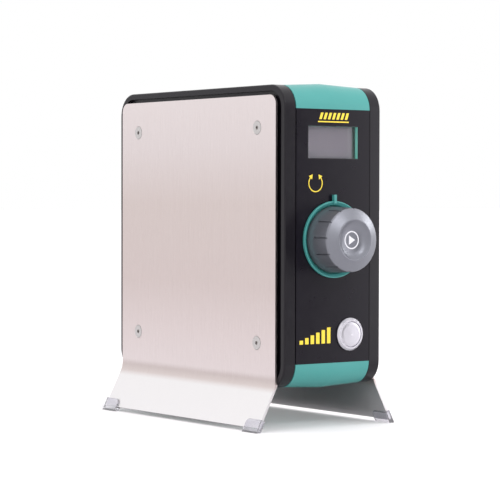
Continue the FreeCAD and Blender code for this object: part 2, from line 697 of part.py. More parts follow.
def direction_ring():
    """Teal ring with a raised rim, an inward slope, a pointer tab and a sleeve through the panel."""
    rim_r = RING_R - RING_RIM_WIDTH
    ring = turned([
        (RING_R, RING_BACK_DEPTH),
        (RING_R, RING_FRONT_DEPTH + 0.3),
        (RING_R - 0.3, RING_FRONT_DEPTH),
        (rim_r, RING_FRONT_DEPTH),
        (RING_SLOPE_R, RING_SLOPE_DEPTH),
        (RING_WELL_R, RING_WELL_DEPTH),
        (RING_WELL_R, RING_FLOOR_DEPTH),
        (SLEEVE_INNER_R, RING_FLOOR_DEPTH),
        (SLEEVE_INNER_R, SLEEVE_END_DEPTH),
        (SLEEVE_OUTER_R, SLEEVE_END_DEPTH),
        (SLEEVE_OUTER_R, RETAINER_END + THREAD_PLAY),
        (RETAINER_GROOVE_R, RETAINER_END + THREAD_PLAY),
        (RETAINER_GROOVE_R, RETAINER_START - THREAD_PLAY),
        (SLEEVE_OUTER_R, RETAINER_START - THREAD_PLAY),
        (SLEEVE_OUTER_R, RING_BACK_DEPTH),
    ], 0, KNOB_Z)
    tab = block(-TAB_WIDTH / 2, TAB_WIDTH / 2, TAB_FRONT_DEPTH, RING_BACK_DEPTH,
                KNOB_Z + TAB_LOW_Z, KNOB_Z + TAB_HIGH_Z)
    ring = ring.fuse(tab)
    return ring.cut(magnet_rod(THREAD_PLAY)).removeSplitter()


def magnet_rod(play):
    """The small magnet in the lower end of the ring's sleeve."""
    circle = (RETAINER_GROOVE_R + SLEEVE_INNER_R) / 2
    return rod_y(SLEEVE_END_DEPTH - 2, SLEEVE_END_DEPTH, 0, KNOB_Z - circle, MAGNET_R + play)


def ring_retainer():
    """Open snap ring in the sleeve's groove, behind the panel."""
    ring = rod_y(RETAINER_START, RETAINER_END, 0, KNOB_Z, RETAINER_OUTER_R)
    ring = ring.cut(rod_y(RETAINER_START - 1, RETAINER_END + 1, 0, KNOB_Z, RETAINER_GROOVE_R + THREAD_PLAY))
    return ring.cut(block(-4, 4, 0, BOARD_DEPTH, KNOB_Z - RETAINER_OUTER_R - 1, KNOB_Z))


def on_rim(angle):
    """Point on the knob's rounded rim, in the outline's plane."""
    radius = KNOB_RIM_R - RIM_ROUND * (1 - math.cos(angle))
    return Vector(radius, KNOB_RIM_DEPTH - RIM_ROUND * math.sin(angle), 0)


def knob_outline():
    """Half section of the knob as edges in the XY plane, Y being the depth."""
    lip_out = Vector(LIP_R + LIP_HALF, -KNOB_REACH + LIP_DROP, 0)
    lip_top = Vector(LIP_R, -KNOB_REACH, 0)
    lip_in = Vector(LIP_R - LIP_HALF, -KNOB_REACH + LIP_DROP, 0)
    rise = DISH_DEPTH - lip_in.y
    reach = lip_in.x - DISH_FLAT_R
    curve = (reach * reach + rise * rise) / (2 * rise)
    half_turn = math.asin(reach / curve) / 2
    dish_middle = Vector(DISH_FLAT_R + curve * math.sin(half_turn),
                         DISH_DEPTH - curve * (1 - math.cos(half_turn)), 0)
    dish_flat = Vector(DISH_FLAT_R, DISH_DEPTH, 0)
    bore_r = SHAFT_R + THREAD_PLAY
    bore_end = SHAFT_FRONT_DEPTH - 0.3
    corners = [
        Vector(0, DISH_DEPTH, 0),
        Vector(0, bore_end, 0),
        Vector(bore_r, bore_end, 0),
        Vector(bore_r, KNOB_HUB_DEPTH, 0),
        Vector(KNOB_HUB_R, KNOB_HUB_DEPTH, 0),
        Vector(KNOB_HUB_R, KNOB_CAVITY_DEPTH, 0),
        Vector(KNOB_CAVITY_R - CAVITY_BEVEL, KNOB_CAVITY_DEPTH, 0),
        Vector(KNOB_CAVITY_R, KNOB_CAVITY_DEPTH + CAVITY_BEVEL, 0),
        Vector(KNOB_CAVITY_R, KNOB_BASE_DEPTH, 0),
        Vector(KNOB_BASE_R - KNOB_EDGE, KNOB_BASE_DEPTH, 0),
        Vector(KNOB_BASE_R, KNOB_BASE_DEPTH - KNOB_EDGE, 0),
        on_rim(0),
    ]
    edges = [Part.makeLine(a, b) for a, b in zip(corners, corners[1:])]
    edges.append(Part.Arc(on_rim(0), on_rim(RIM_ROUND_TURN / 2), on_rim(RIM_ROUND_TURN)).toShape())
    edges.append(Part.makeLine(on_rim(RIM_ROUND_TURN), lip_out))
    edges.append(Part.Arc(lip_out, lip_top, lip_in).toShape())
    edges.append(Part.Arc(lip_in, dish_middle, dish_flat).toShape())
    edges.append(Part.makeLine(dish_flat, corners[0]))
    return Part.Wire(edges)


def knob_body():
    """Hollow knob with twelve grip grooves, a wide bevel and a deep finger dish."""
    knob = Part.Face(knob_outline()).revolve(Vector(0, 0, 0), Vector(0, 1, 0), 360)
    knob.translate(Vector(0, FRONT_Y, KNOB_Z))
    for index in range(GROOVES):
        groove = block(-GROOVE_WIDTH / 2, GROOVE_WIDTH / 2, KNOB_RIM_DEPTH - RIM_ROUND, GROOVE_START,
                       KNOB_Z + KNOB_RIM_R - GROOVE_CUT, KNOB_Z + KNOB_BASE_R + 1)
        groove.rotate(Vector(0, 0, KNOB_Z), Vector(0, 1, 0), GROOVE_TURN + index * 360 / GROOVES)
        knob = knob.cut(groove)
    access = Part.makeCylinder(GRUB_R + 0.2, KNOB_BASE_R, Vector(0, FRONT_Y + GRUB_DEPTH, KNOB_Z),
                               Vector(0, 0, -1))
    outside_hub = rod_y(KNOB_CAVITY_DEPTH, 0, 0, KNOB_Z, KNOB_HUB_R - 0.01)
    knob = knob.cut(access.cut(outside_hub))
    tapped = Part.makeCylinder(GRUB_R + THREAD_PLAY, KNOB_HUB_R, Vector(0, FRONT_Y + GRUB_DEPTH, KNOB_Z),
                               Vector(0, 0, -1))
    return knob.cut(tapped)


def knob_grub_screw():
    """Grub screw that locks the knob's hub on the encoder shaft."""
    place = Vector(0, FRONT_Y + GRUB_DEPTH, KNOB_Z - SHAFT_R - THREAD_PLAY)
    return Part.makeCylinder(GRUB_R, KNOB_HUB_R - SHAFT_R, place, Vector(0, 0, -1))


def encoder_body():
    """Encoder case with a threaded bushing and a chamber for the push plunger."""
    case = block(-ENCODER_HALF, ENCODER_HALF, ENCODER_FRONT_DEPTH, BOARD_DEPTH - HOLE_PLAY,
                 KNOB_Z - ENCODER_HALF, KNOB_Z + ENCODER_HALF)
    case = case.fuse(rod_y(BUSHING_END_DEPTH, ENCODER_FRONT_DEPTH, 0, KNOB_Z, BUSHING_R))
    case = case.cut(rod_y(BUSHING_END_DEPTH - 1, ENCODER_FRONT_DEPTH + 0.5, 0, KNOB_Z, SHAFT_R + SHAFT_PLAY))
    return case.cut(rod_y(ENCODER_FRONT_DEPTH + 0.5, BOARD_DEPTH - 0.7, 0, KNOB_Z, PLUNGER_R + 0.3))


def encoder_nut():
    """Hexagon nut that clamps the encoder's bushing to the collar."""
    nut = hexagon_y(BUSHING_END_DEPTH + 0.1, COLLAR_FRONT_DEPTH, 0, KNOB_Z, ENCODER_NUT_ACROSS_FLATS)
    return nut.cut(rod_y(BUSHING_END_DEPTH - 1, COLLAR_FRONT_DEPTH + 1, 0, KNOB_Z, BUSHING_R + THREAD_PLAY))


def button_housing():
    """Power button shell: bevelled bezel and a barrel, open at the front for the cap."""
    return turned([
        (CAP_R + CAP_PLAY, BEZEL_DEPTH),
        (BEZEL_R - BEZEL_BEVEL, BEZEL_DEPTH),
        (BEZEL_R, BEZEL_DEPTH + BEZEL_BEVEL),
        (BEZEL_R, -SEAL_T),
        (BUTTON_BARREL_R, -SEAL_T),
        (BUTTON_BARREL_R, BUTTON_BARREL_END),
        (0, BUTTON_BARREL_END),
        (0, BUTTON_BARREL_END - BARREL_WALL),
        (CAP_R - CAP_STOP, BUTTON_BARREL_END - BARREL_WALL),
        (CAP_R - CAP_STOP, CAP_END_DEPTH + 2),
        (CAP_R + CAP_PLAY, CAP_END_DEPTH + 2),
    ], BUTTON_X, BUTTON_Z)


def button_cap():
    """Moving face of the power button, slightly domed, hollow behind for its spring."""
    return turned([
        (0, CAP_FRONT_DEPTH),
        (CAP_R - 2, CAP_FRONT_DEPTH + 0.12),
        (CAP_R - 0.5, CAP_FRONT_DEPTH + 0.35),
        (CAP_R, CAP_FRONT_DEPTH + 0.8),
        (CAP_R, CAP_END_DEPTH),
        (CAP_HOLLOW_R, CAP_END_DEPTH),
        (CAP_HOLLOW_R, CAP_FLOOR_DEPTH),
        (0, CAP_FLOOR_DEPTH),
    ], BUTTON_X, BUTTON_Z)


def button_spring():
    """Return spring between the cap and the end wall of the barrel."""
    low = CAP_FLOOR_DEPTH + SPRING_WIRE_R + SPRING_PLAY
    high = BUTTON_BARREL_END - BARREL_WALL - SPRING_WIRE_R - SPRING_PLAY
    helix = Part.makeHelix((high - low) / SPRING_COILS, high - low, SPRING_COIL_R)
    profile = Part.Wire(Part.makeCircle(SPRING_WIRE_R, Vector(SPRING_COIL_R, 0, 0), Vector(0, 1, 0)))
    spring = Part.Wire(helix.Edges).makePipeShell([profile], True, True)
    spring.rotate(Vector(0, 0, 0), Vector(1, 0, 0), -90)
    spring.translate(Vector(BUTTON_X, FRONT_Y + low, BUTTON_Z))
    return spring


def button_seal():
    """Flat seal under the bezel."""
    seal = rod_y(-SEAL_T, 0, BUTTON_X, BUTTON_Z, BEZEL_R - 0.3)
    return seal.cut(rod_y(-1, 1, BUTTON_X, BUTTON_Z, BUTTON_HOLE_R))


def button_nut():
    """Nut behind the panel that clamps the power button."""
    nut = hexagon_y(PANEL_BACK, PANEL_BACK + BUTTON_NUT_T, BUTTON_X, BUTTON_Z, BUTTON_NUT_ACROSS_FLATS)
    return nut.cut(rod_y(0, PANEL_BACK + BUTTON_NUT_T + 1, BUTTON_X, BUTTON_Z, BUTTON_BARREL_R + THREAD_PLAY))


def button_terminals():
    """Four solder blades at the back of the power button."""
    blades = []
    for x, z in ((-5, 0), (5, 0), (0, -5), (0, 5)):
        blades.append(block(BUTTON_X + x - 1, BUTTON_X + x + 1, BUTTON_BARREL_END, BUTTON_BARREL_END + 5,
                            BUTTON_Z + z - 0.25, BUTTON_Z + z + 0.25))
    return group(blades)


def inlet_screw_places():
    """(x, z) of the mains inlet's two screws."""
    return [(-20.0, INLET_Z), (20.0, INLET_Z)]


def inlet_cavity():
    """Plug space of the mains inlet: a rectangle with two cut corners."""
    low = INLET_Z + INLET_CAVITY_LIFT - INLET_CAVITY_HALF_HEIGHT
    high = INLET_Z + INLET_CAVITY_LIFT + INLET_CAVITY_HALF_HEIGHT
    half = INLET_CAVITY_HALF_WIDTH
    cut = INLET_CAVITY_CUT
    y = REAR_Y + INLET_FLANGE_T
    points = [(-half, low), (half, low), (half, high - cut), (half - cut, high),
              (cut - half, high), (-half, high - cut), (-half, low)]
    face = Part.Face(Part.makePolygon([Vector(x, y, z) for x, z in points]))
    return face.extrude(Vector(0, -INLET_BODY_DEPTH, 0))


def mains_inlet():
    """Appliance inlet with a flange, a plug cavity and a slot for the fuse drawer."""
    outer = BODY_DEPTH + INLET_FLANGE_T
    flange = slab_y(-INLET_HALF_WIDTH, INLET_HALF_WIDTH, BODY_DEPTH, outer,
                    INLET_Z - INLET_HALF_HEIGHT, INLET_Z + INLET_HALF_HEIGHT, 5)
    body = block(-INLET_BODY_HALF_WIDTH, INLET_BODY_HALF_WIDTH, outer - INLET_BODY_DEPTH - 1.5, BODY_DEPTH,
                 INLET_Z - INLET_BODY_HALF_HEIGHT, INLET_Z + INLET_BODY_HALF_HEIGHT)
    inlet = flange.fuse(body).cut(inlet_cavity())
    inlet = inlet.cut(fuse_slot(0)).cut(inlet_pins())
    for x, z in inlet_screw_places():
        inlet = inlet.cut(rod_y(BODY_DEPTH - 1, outer + 1, x, z, SMALL_SCREW_R + HOLE_PLAY))
    return inlet.removeSplitter()


def fuse_slot(play):
    """Space of the fuse drawer, less a play on each side."""
    outer = BODY_DEPTH + INLET_FLANGE_T
    z = INLET_Z - FUSE_DROP
    return block(-FUSE_HALF_WIDTH + play, FUSE_HALF_WIDTH - play, outer - INLET_BODY_DEPTH + play,
                 outer + 1 - play, z - FUSE_HALF_HEIGHT + play, z + FUSE_HALF_HEIGHT - play)


def fuse_places():
    """X of the two fuses in the drawer."""
    return (-6.0, 6.0)


def fuse_drawer():
    """Pull-out drawer with two fuse troughs and a finger lip."""
    outer = BODY_DEPTH + INLET_FLANGE_T
    z = INLET_Z - FUSE_DROP
    drawer = fuse_slot(DRAWER_PLAY)
    for x in fuse_places():
        drawer = drawer.cut(block(x - FUSE_TROUGH_HALF, x + FUSE_TROUGH_HALF, outer - INLET_BODY_DEPTH + 1,
                                  outer - 1.5, z - FUSE_TROUGH_HALF, z + FUSE_HALF_HEIGHT))
    lip = block(-4, 4, outer + 0.6, outer + 2.2, z - FUSE_HALF_HEIGHT + 0.3, z - FUSE_HALF_HEIGHT + 1.8)
    return drawer.fuse(lip)


def fuses():
    """Two cartridge fuses."""
    outer = BODY_DEPTH + INLET_FLANGE_T
    z = INLET_Z - FUSE_DROP
    return group([rod_y(outer - INLET_BODY_DEPTH + 1.5, outer - 2, x, z, FUSE_R) for x in fuse_places()])


def inlet_pins():
    """Three blades of the mains inlet and their tabs inside the housing."""
    outer = BODY_DEPTH + INLET_FLANGE_T
    z = INLET_Z + INLET_CAVITY_LIFT
    blades = []
    for x, lift in ((-7, -1), (7, -1), (0, 3)):
        blades.append(block(x - 1, x + 1, outer - INLET_BODY_DEPTH - 6, outer - 2.5,
                            z + lift - 2, z + lift + 2))
    return group(blades)


def inlet_screws():
    """Two screws and nuts that hold the mains inlet."""
    screws = []
    outer = BODY_DEPTH + INLET_FLANGE_T
    for x, z in inlet_screw_places():
        head = rod_y(outer, outer + SMALL_HEAD_T, x, z, SMALL_HEAD_R)
        screws.append(head.fuse(rod_y(BODY_DEPTH - PANEL_BACK - 3.5, outer, x, z, SMALL_SCREW_R)))
    return group(screws)


def inlet_nuts():
    """Hexagon nuts on the inlet screws, inside the rear panel."""
    nuts = []
    inside = BODY_DEPTH - PANEL_BACK
    for x, z in inlet_screw_places():
        nut = hexagon_y(inside - INLET_NUT_T, inside, x, z, INLET_NUT_ACROSS_FLATS)
        nuts.append(nut.cut(rod_y(inside - 4, inside + 1, x, z, SMALL_SCREW_R + THREAD_PLAY)))
    return group(nuts)


def motor_socket():
    """Round motor connector shell with a collar outside the panel and a barrel through it."""
    rear = BODY_DEPTH
    barrel_r = MOTOR_COLLAR_R - MOTOR_COLLAR_STEP
    return turned([
        (MOTOR_CAVITY_R, rear + REAR_REACH),
        (MOTOR_COLLAR_R - 2, rear + REAR_REACH),
        (MOTOR_COLLAR_R - 1, rear + REAR_REACH - 1),
        (MOTOR_COLLAR_R - 1, rear + 3),
        (MOTOR_COLLAR_R, rear + 3),
        (MOTOR_COLLAR_R, rear),
        (barrel_r, rear),
        (barrel_r, rear - MOTOR_BARREL_DEPTH),
        (MOTOR_CAVITY_R, rear - MOTOR_BARREL_DEPTH),
    ], MOTOR_X, MOTOR_Z)


def motor_insert():
    """Insulating insert deep in the motor connector."""
    rear = BODY_DEPTH
    return rod_y(rear - MOTOR_BARREL_DEPTH, rear - MOTOR_INSERT_DEPTH, MOTOR_X, MOTOR_Z,
                 MOTOR_CAVITY_R - THREAD_PLAY)


def motor_pins():
    """Seven contacts standing out of the insert."""
    rear = BODY_DEPTH
    pins = [rod_y(rear - MOTOR_INSERT_DEPTH, rear + 1, MOTOR_X, MOTOR_Z, MOTOR_PIN_R)]
    for index in range(6):
        angle = math.radians(60 * index)
        x = MOTOR_X + MOTOR_PIN_CIRCLE * math.cos(angle)
        z = MOTOR_Z + MOTOR_PIN_CIRCLE * math.sin(angle)
        pins.append(rod_y(rear - MOTOR_INSERT_DEPTH, rear + 1, x, z, MOTOR_PIN_R))
    return group(pins)


def motor_nut():
    """Nut that clamps the motor connector inside the rear panel."""
    inside = BODY_DEPTH - PANEL_BACK
    nut = hexagon_y(inside - MOTOR_NUT_T, inside, MOTOR_X, MOTOR_Z, MOTOR_NUT_ACROSS_FLATS)
    barrel_r = MOTOR_COLLAR_R - MOTOR_COLLAR_STEP
    return nut.cut(rod_y(inside - 5, inside + 1, MOTOR_X, MOTOR_Z, barrel_r + THREAD_PLAY))


def earth_stud():
    """Equipotential stud through the rear panel."""
    return turned([
        (0, BODY_DEPTH + EARTH_REACH),
        (EARTH_R - 0.5, BODY_DEPTH + EARTH_REACH),
        (EARTH_R, BODY_DEPTH + EARTH_REACH - 0.5),
        (EARTH_R, BODY_DEPTH - EARTH_INSIDE),
        (0, BODY_DEPTH - EARTH_INSIDE),
    ], EARTH_X, EARTH_Z)


def earth_nuts():
    """One nut outside and one inside the rear panel."""
    nuts = []
    for low in (BODY_DEPTH, BODY_DEPTH - PANEL_BACK - EARTH_NUT_T):
        nut = hexagon_y(low, low + EARTH_NUT_T, EARTH_X, EARTH_Z, EARTH_NUT_ACROSS_FLATS)
        nuts.append(nut.cut(rod_y(low - 1, low + 5, EARTH_X, EARTH_Z, EARTH_R + THREAD_PLAY)))
    return group(nuts)


def chassis_screw_places():
    """(x, y) of the four screws that hold the chassis on the bottom cover."""
    places = []
    for x in (8.0, 24.0):
        for depth in (CHASSIS_FRONT_DEPTH + 7, CHASSIS_REAR_DEPTH - 7):
            places.append((x, FRONT_Y + depth))
    return places


def chassis_plate():
    """Bent sheet: a foot on the bottom cover and an upright web between the boards."""
    floor = BODY_BOTTOM_Z + SKIN + TONGUE
    half = CHASSIS_T / 2
    foot = block(-half, 29, CHASSIS_FRONT_DEPTH, CHASSIS_REAR_DEPTH, floor, floor + CHASSIS_T)
    web = block(-half, half, CHASSIS_FRONT_DEPTH, CHASSIS_REAR_DEPTH, floor, CHASSIS_TOP_Z)
    sheet = foot.fuse(web)
    for x, y in chassis_screw_places():
        hole = Part.makeCylinder(SMALL_SCREW_R + HOLE_PLAY, CHASSIS_T + 2, Vector(x, y, floor - 1))
        sheet = sheet.cut(hole)
    for sign, top in ((-1, SUPPLY_TOP_Z), (1, DRIVE_TOP_Z)):
        for y, z in inner_board_holes(top):
            sheet = sheet.cut(rod_x(-half - 1, half + 1, y, z, SMALL_SCREW_R + THREAD_PLAY))
    return sheet.removeSplitter()


def chassis_screws():
    """Four screws through the chassis foot."""
    floor = BODY_BOTTOM_Z + SKIN + TONGUE
    screws = []
    for x, y in chassis_screw_places():
        head = Part.makeCylinder(SMALL_HEAD_R, SMALL_HEAD_T, Vector(x, y, floor + CHASSIS_T))
        shank = Part.makeCylinder(SMALL_SCREW_R, CHASSIS_T + 2.5, Vector(x, y, floor - 2.5))
        screws.append(head.fuse(shank))
    return group(screws)


def inner_board_holes(top):
    """(y, z) of the four fixing holes of an upright board."""
    places = []
    for depth in (CHASSIS_FRONT_DEPTH + STANDOFF_INSET, CHASSIS_REAR_DEPTH - STANDOFF_INSET):
        for z in (INNER_BOARD_LOW_Z + STANDOFF_INSET, top - STANDOFF_INSET):
            places.append((FRONT_Y + depth, z))
    return places


def upright_board(sign, top):
    """A circuit board parallel to the chassis web, on one side of it."""
    low_x, high_x = sorted((sign * BOARD_X, sign * (BOARD_X + BOARD_T)))
    board = block(low_x, high_x, CHASSIS_FRONT_DEPTH + 2, CHASSIS_REAR_DEPTH - 2, INNER_BOARD_LOW_Z, top)
    for y, z in inner_board_holes(top):
        board = board.cut(rod_x(low_x - 1, high_x + 1, y, z, SMALL_SCREW_R + HOLE_PLAY))
    return board


def inner_standoffs():
    """Spacers between the chassis web and both boards; the lower ones clear each other."""
    half = CHASSIS_T / 2
    spacers = []
    for sign, top in ((-1, SUPPLY_TOP_Z), (1, DRIVE_TOP_Z)):
        low_x, high_x = sorted((sign * half, sign * BOARD_X))
        for y, z in inner_board_holes(top):
            spacer = rod_x(low_x, high_x, y, z, STANDOFF_R)
            spacers.append(spacer.cut(rod_x(low_x - 1, high_x + 1, y, z, SMALL_SCREW_R + THREAD_PLAY)))
    return group(spacers)


def inner_board_screws():
    """Screws that hold both boards on their spacers."""
    screws = []
    for sign, top in ((-1, SUPPLY_TOP_Z), (1, DRIVE_TOP_Z)):
        face = BOARD_X + BOARD_T
        head_ends = sorted((sign * face, sign * (face + SMALL_HEAD_T)))
        shank_ends = sorted((sign * 3.0, sign * face))
        for y, z in inner_board_holes(top):
            head = rod_x(head_ends[0], head_ends[1], y, z, SMALL_HEAD_R)
            screws.append(head.fuse(rod_x(shank_ends[0], shank_ends[1], y, z, SMALL_SCREW_R)))
    return group(screws)


def supply_transformer():
    """Transformer: a core with a bobbin standing proud of it."""
    face = -(BOARD_X + BOARD_T)
    core = block(face - CORE_T, face, 86, 120, 108, 138)
    return core.fuse(block(face - TRANSFORMER_T, face, 91, 115, 112, 134))


def supply_capacitors():
    """Two smoothing capacitors lying off the supply board."""
    face = -(BOARD_X + BOARD_T)
    places = ((70.0, 150.0), (92.0, 156.0))
    return group([rod_x(face - SUPPLY_CAPACITOR_LENGTH, face, FRONT_Y + depth, z, SUPPLY_CAPACITOR_R)
                  for depth, z in places])


def supply_choke():
    """Line filter choke beside the mains terminals."""
    face = -(BOARD_X + BOARD_T)
    return block(face - CHOKE_T, face, 124, 146, 64, 84)


def supply_heat_sink():
    """Finned bar that cools the supply's switching devices."""
    face = -(BOARD_X + BOARD_T)
    bar = block(face - HEAT_SINK_T, face, 58, 61, 60, 120)
    for index in range(SUPPLY_FINS):
        z = 62 + index * SUPPLY_FIN_PITCH
        bar = bar.fuse(block(face - HEAT_SINK_T, face - HEAT_SINK_BASE, 61, 70, z, z + FIN_T))
    return bar


def drive_heat_sink():
    """Finned heat sink on the motor drive board."""
    face = BOARD_X + BOARD_T
    sink = block(face, face + HEAT_SINK_BASE, 70, 130, 90, 160)
    for index in range(DRIVE_FINS):
        z = 92 + index * DRIVE_FIN_PITCH
        sink = sink.fuse(block(face + HEAT_SINK_BASE, face + HEAT_SINK_T, 70, 130, z, z + FIN_T))
    return sink


def drive_capacitors():
    """Three link capacitors on the motor drive board."""
    face = BOARD_X + BOARD_T
    places = (72.0, 92.0, 112.0)
    return group([rod_x(face, face + DRIVE_CAPACITOR_LENGTH, FRONT_Y + depth, 72, DRIVE_CAPACITOR_R)
                  for depth in places])


def lead(points, radius):
    """A round lead along a smooth curve through (x, depth, z) points."""
    curve = Part.BSplineCurve()
    curve.interpolate([Vector(x, FRONT_Y + depth, z) for x, depth, z in points])
    path = Part.Wire(curve.toShape())
    start = curve.value(curve.FirstParameter)
    heading = curve.tangent(curve.FirstParameter)[0]
    profile = Part.Wire(Part.makeCircle(radius, start, heading))
    return path.makePipeShell([profile], True, True)


def mains_leads():
    """Two leads from the inlet's blades to the supply board."""
    live = lead([(-7, 179.9, 84), (-9, 172, 82), (-14, 160, 76), (-16.5, 146.3, 74)], MAINS_LEAD_R)
    route = [(7, 179.9, 84), (4, 172, 91), (-10, 166, 93), (-14, 154, 90), (-14, 140, 88)]
    neutral = lead(route, MAINS_LEAD_R)
    return group([live, neutral])


def motor_lead():
    """Screened lead from the drive board to the motor connector."""
    route = [(MOTOR_X, 187.9, MOTOR_Z), (-8, 178, 141), (8, 168, 146), (15, 152, 150), (15, 140, 150)]
    return lead(route, MOTOR_LEAD_R)


def panel_lead():
    """Lead from the control board's header to the drive board."""
    route = [(14, 20.7, 143), (14, 24, 143), (14, 32, 142), (15, 46, 139), (16, 60, 138), (16, 69.8, 138)]
    return lead(route, PANEL_LEAD_R)


def button_lead():
    """Lead from the power button up to the control board."""
    route = [(BUTTON_X, 22.1, 67.9), (BUTTON_X, 24, 67.9), (13, 27, 76), (0, 27, 90), (-14, 22, 100),
             (-14, 17.8, 100)]
    return lead(route, BUTTON_LEAD_R)


def build():
    """Write every node."""
    os.makedirs("parts", exist_ok=True)
    frame = side_frame()
    plate = side_plate()
    screws = plate_screws()
    front_bumper = bumper(True)
    rear_bumper = bumper(False)
    save("right_side_frame", frame)
    save("left_side_frame", mirrored(frame))
    save("right_side_plate", plate)
    save("left_side_plate", mirrored(plate))
    save("side_plate_screws", group(screws + [mirrored(screw) for screw in screws]))
    save("tie_bars", tie_bars())
    save("right_front_bumper", front_bumper)
    save("left_front_bumper", mirrored(front_bumper))
    save("right_rear_bumper", rear_bumper)
    save("left_rear_bumper", mirrored(rear_bumper))
    save("top_cover", top_cover())
    save("bottom_cover", bottom_cover())
    save("front_panel", front_panel())
    save("rear_panel", rear_panel())
    save("display_bezel", display_bezel())
    save("display_window", display_window())
    save("display_glass", display_glass())
    save("display_module", display_module())
    save("control_board", control_board())
    save("control_board_parts", control_board_parts())
    save("control_board_spacers", board_standoffs())
    save("control_board_screws", board_screws())
    save("ring_collar", ring_collar())
    save("ring_collar_screws", collar_screws())
    save("direction_ring", direction_ring())
    save("ring_retainer", ring_retainer())
    save("ring_magnet", magnet_rod(0))
    save("knob", knob_body())
    save("knob_grub_screw", knob_grub_screw())
    save("encoder_shaft", rod_y(SHAFT_FRONT_DEPTH, SHAFT_END_DEPTH, 0, KNOB_Z, SHAFT_R))
    save("encoder_plunger", rod_y(SHAFT_END_DEPTH + 0.05, SHAFT_END_DEPTH + 1.6, 0, KNOB_Z, PLUNGER_R))
    save("encoder_body", encoder_body())
    save("encoder_nut", encoder_nut())
    save("power_button_housing", button_housing())
    save("power_button_cap", button_cap())
    save("power_button_spring", button_spring())
    save("power_button_seal", button_seal())
    save("power_button_nut", button_nut())
    save("power_button_terminals", button_terminals())
    save("mains_inlet", mains_inlet())
    save("mains_inlet_pins", inlet_pins())
    save("mains_inlet_screws", inlet_screws())
    save("mains_inlet_nuts", inlet_nuts())
    save("fuse_drawer", fuse_drawer())
    save("fuses", fuses())
    save("motor_socket", motor_socket())
    save("motor_socket_insert", motor_insert())
    save("motor_socket_pins", motor_pins())
    save("motor_socket_nut", motor_nut())
    save("earth_stud", earth_stud())
    save("earth_stud_nuts", earth_nuts())
    save("chassis_plate", chassis_plate())
    save("chassis_screws", chassis_screws())
    save("inner_board_spacers", inner_standoffs())
    save("inner_board_screws", inner_board_screws())
    save("supply_board", group([upright_board(-1, SUPPLY_TOP_Z), supply_transformer(), supply_capacitors(),
                                supply_choke(), supply_heat_sink()]))
    save("drive_board", group([upright_board(1, DRIVE_TOP_Z), drive_heat_sink(), drive_capacitors()]))
    save("internal_leads", group([mains_leads(), motor_lead(), panel_lead(), button_lead()]))


build()
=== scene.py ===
import json
import math

import bmesh
import bpy
from mathutils import Matrix, Vector
from mathutils.bvhtree import BVHTree


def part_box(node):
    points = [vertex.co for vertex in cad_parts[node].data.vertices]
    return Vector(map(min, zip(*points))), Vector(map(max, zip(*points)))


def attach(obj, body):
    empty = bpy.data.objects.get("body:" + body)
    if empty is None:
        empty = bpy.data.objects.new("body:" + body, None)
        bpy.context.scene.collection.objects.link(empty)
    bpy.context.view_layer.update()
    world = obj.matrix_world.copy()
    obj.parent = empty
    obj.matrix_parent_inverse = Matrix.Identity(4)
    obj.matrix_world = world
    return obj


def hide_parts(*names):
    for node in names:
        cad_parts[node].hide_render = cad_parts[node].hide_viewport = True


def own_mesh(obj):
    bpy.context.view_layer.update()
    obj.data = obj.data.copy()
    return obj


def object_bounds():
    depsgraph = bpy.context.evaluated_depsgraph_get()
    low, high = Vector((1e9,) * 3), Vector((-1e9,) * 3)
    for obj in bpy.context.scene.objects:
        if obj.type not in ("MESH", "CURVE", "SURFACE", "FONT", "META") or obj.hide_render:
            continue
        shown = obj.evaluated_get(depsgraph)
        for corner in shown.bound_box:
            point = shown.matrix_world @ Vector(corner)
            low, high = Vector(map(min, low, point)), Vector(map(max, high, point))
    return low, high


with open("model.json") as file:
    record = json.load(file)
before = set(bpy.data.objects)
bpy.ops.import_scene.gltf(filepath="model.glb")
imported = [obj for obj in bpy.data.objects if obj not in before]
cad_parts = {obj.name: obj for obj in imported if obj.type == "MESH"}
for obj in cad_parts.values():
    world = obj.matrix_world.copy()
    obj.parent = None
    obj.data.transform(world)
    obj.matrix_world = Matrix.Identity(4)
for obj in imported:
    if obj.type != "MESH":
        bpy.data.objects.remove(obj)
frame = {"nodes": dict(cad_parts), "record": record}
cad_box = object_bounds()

MM = 0.001

# Camera: the standpoint in metres, the lens in millimetres on a 36 mm sensor, the angles in degrees
CAMERA_PLACE = (-0.857, -1.17755, 0.1544)
CAMERA_LENS = 149.1
CAMERA_AZIMUTH = -36.0
CAMERA_ELEVATION = 1.447
CAMERA_ROLL = 0.118

# Printed marks, in millimetres and degrees. Places are (x, z) on the front panel.
INK_THICKNESS = 0.05
MERGE_DISTANCE = 0.001
RAY_LEAD = 10.0
SYMBOL_CENTRE = (-14.9, 164.1)
SYMBOL_RADIUS = 5.6
SYMBOL_LINE = 0.7
SYMBOL_OPENING = 50.0
ARROW_LENGTH = 2.9
ARROW_HALF_WIDTH = 1.75
STRIPE_COUNT = 7
STRIPE_LOW = (-12.0, 206.6)
STRIPE_PITCH = 3.6
STRIPE_WIDTH = 2.1
STRIPE_HEIGHT = 4.4
STRIPE_LEAN = 1.6
UNDERLINE = (-13.0, 13.0, 204.6, 205.4)
LEVEL_COUNT = 6
LEVEL_LOW = (-27.9, 57.4)
LEVEL_PITCH = 4.6
LEVEL_WIDTH = 2.9
LEVEL_FIRST = 2.6
LEVEL_STEP = 1.6
PLAY_RING_RADIUS = 5.6
PLAY_RING_LINE = 0.85
PLAY_TRIANGLE_BACK = -2.2
PLAY_TRIANGLE_TIP = 2.9
PLAY_TRIANGLE_HALF = 3.1
PLAY_TRIANGLE_STRIPS = 8
ARC_STEPS = 72

# Patterns in the materials, in millimetres
LCD_FIELD_HALF_WIDTH = 19.4
LCD_CELL = 0.55
KNOB_RING_PITCH = 0.35
BOARD_TRACK_PITCH = 4.0

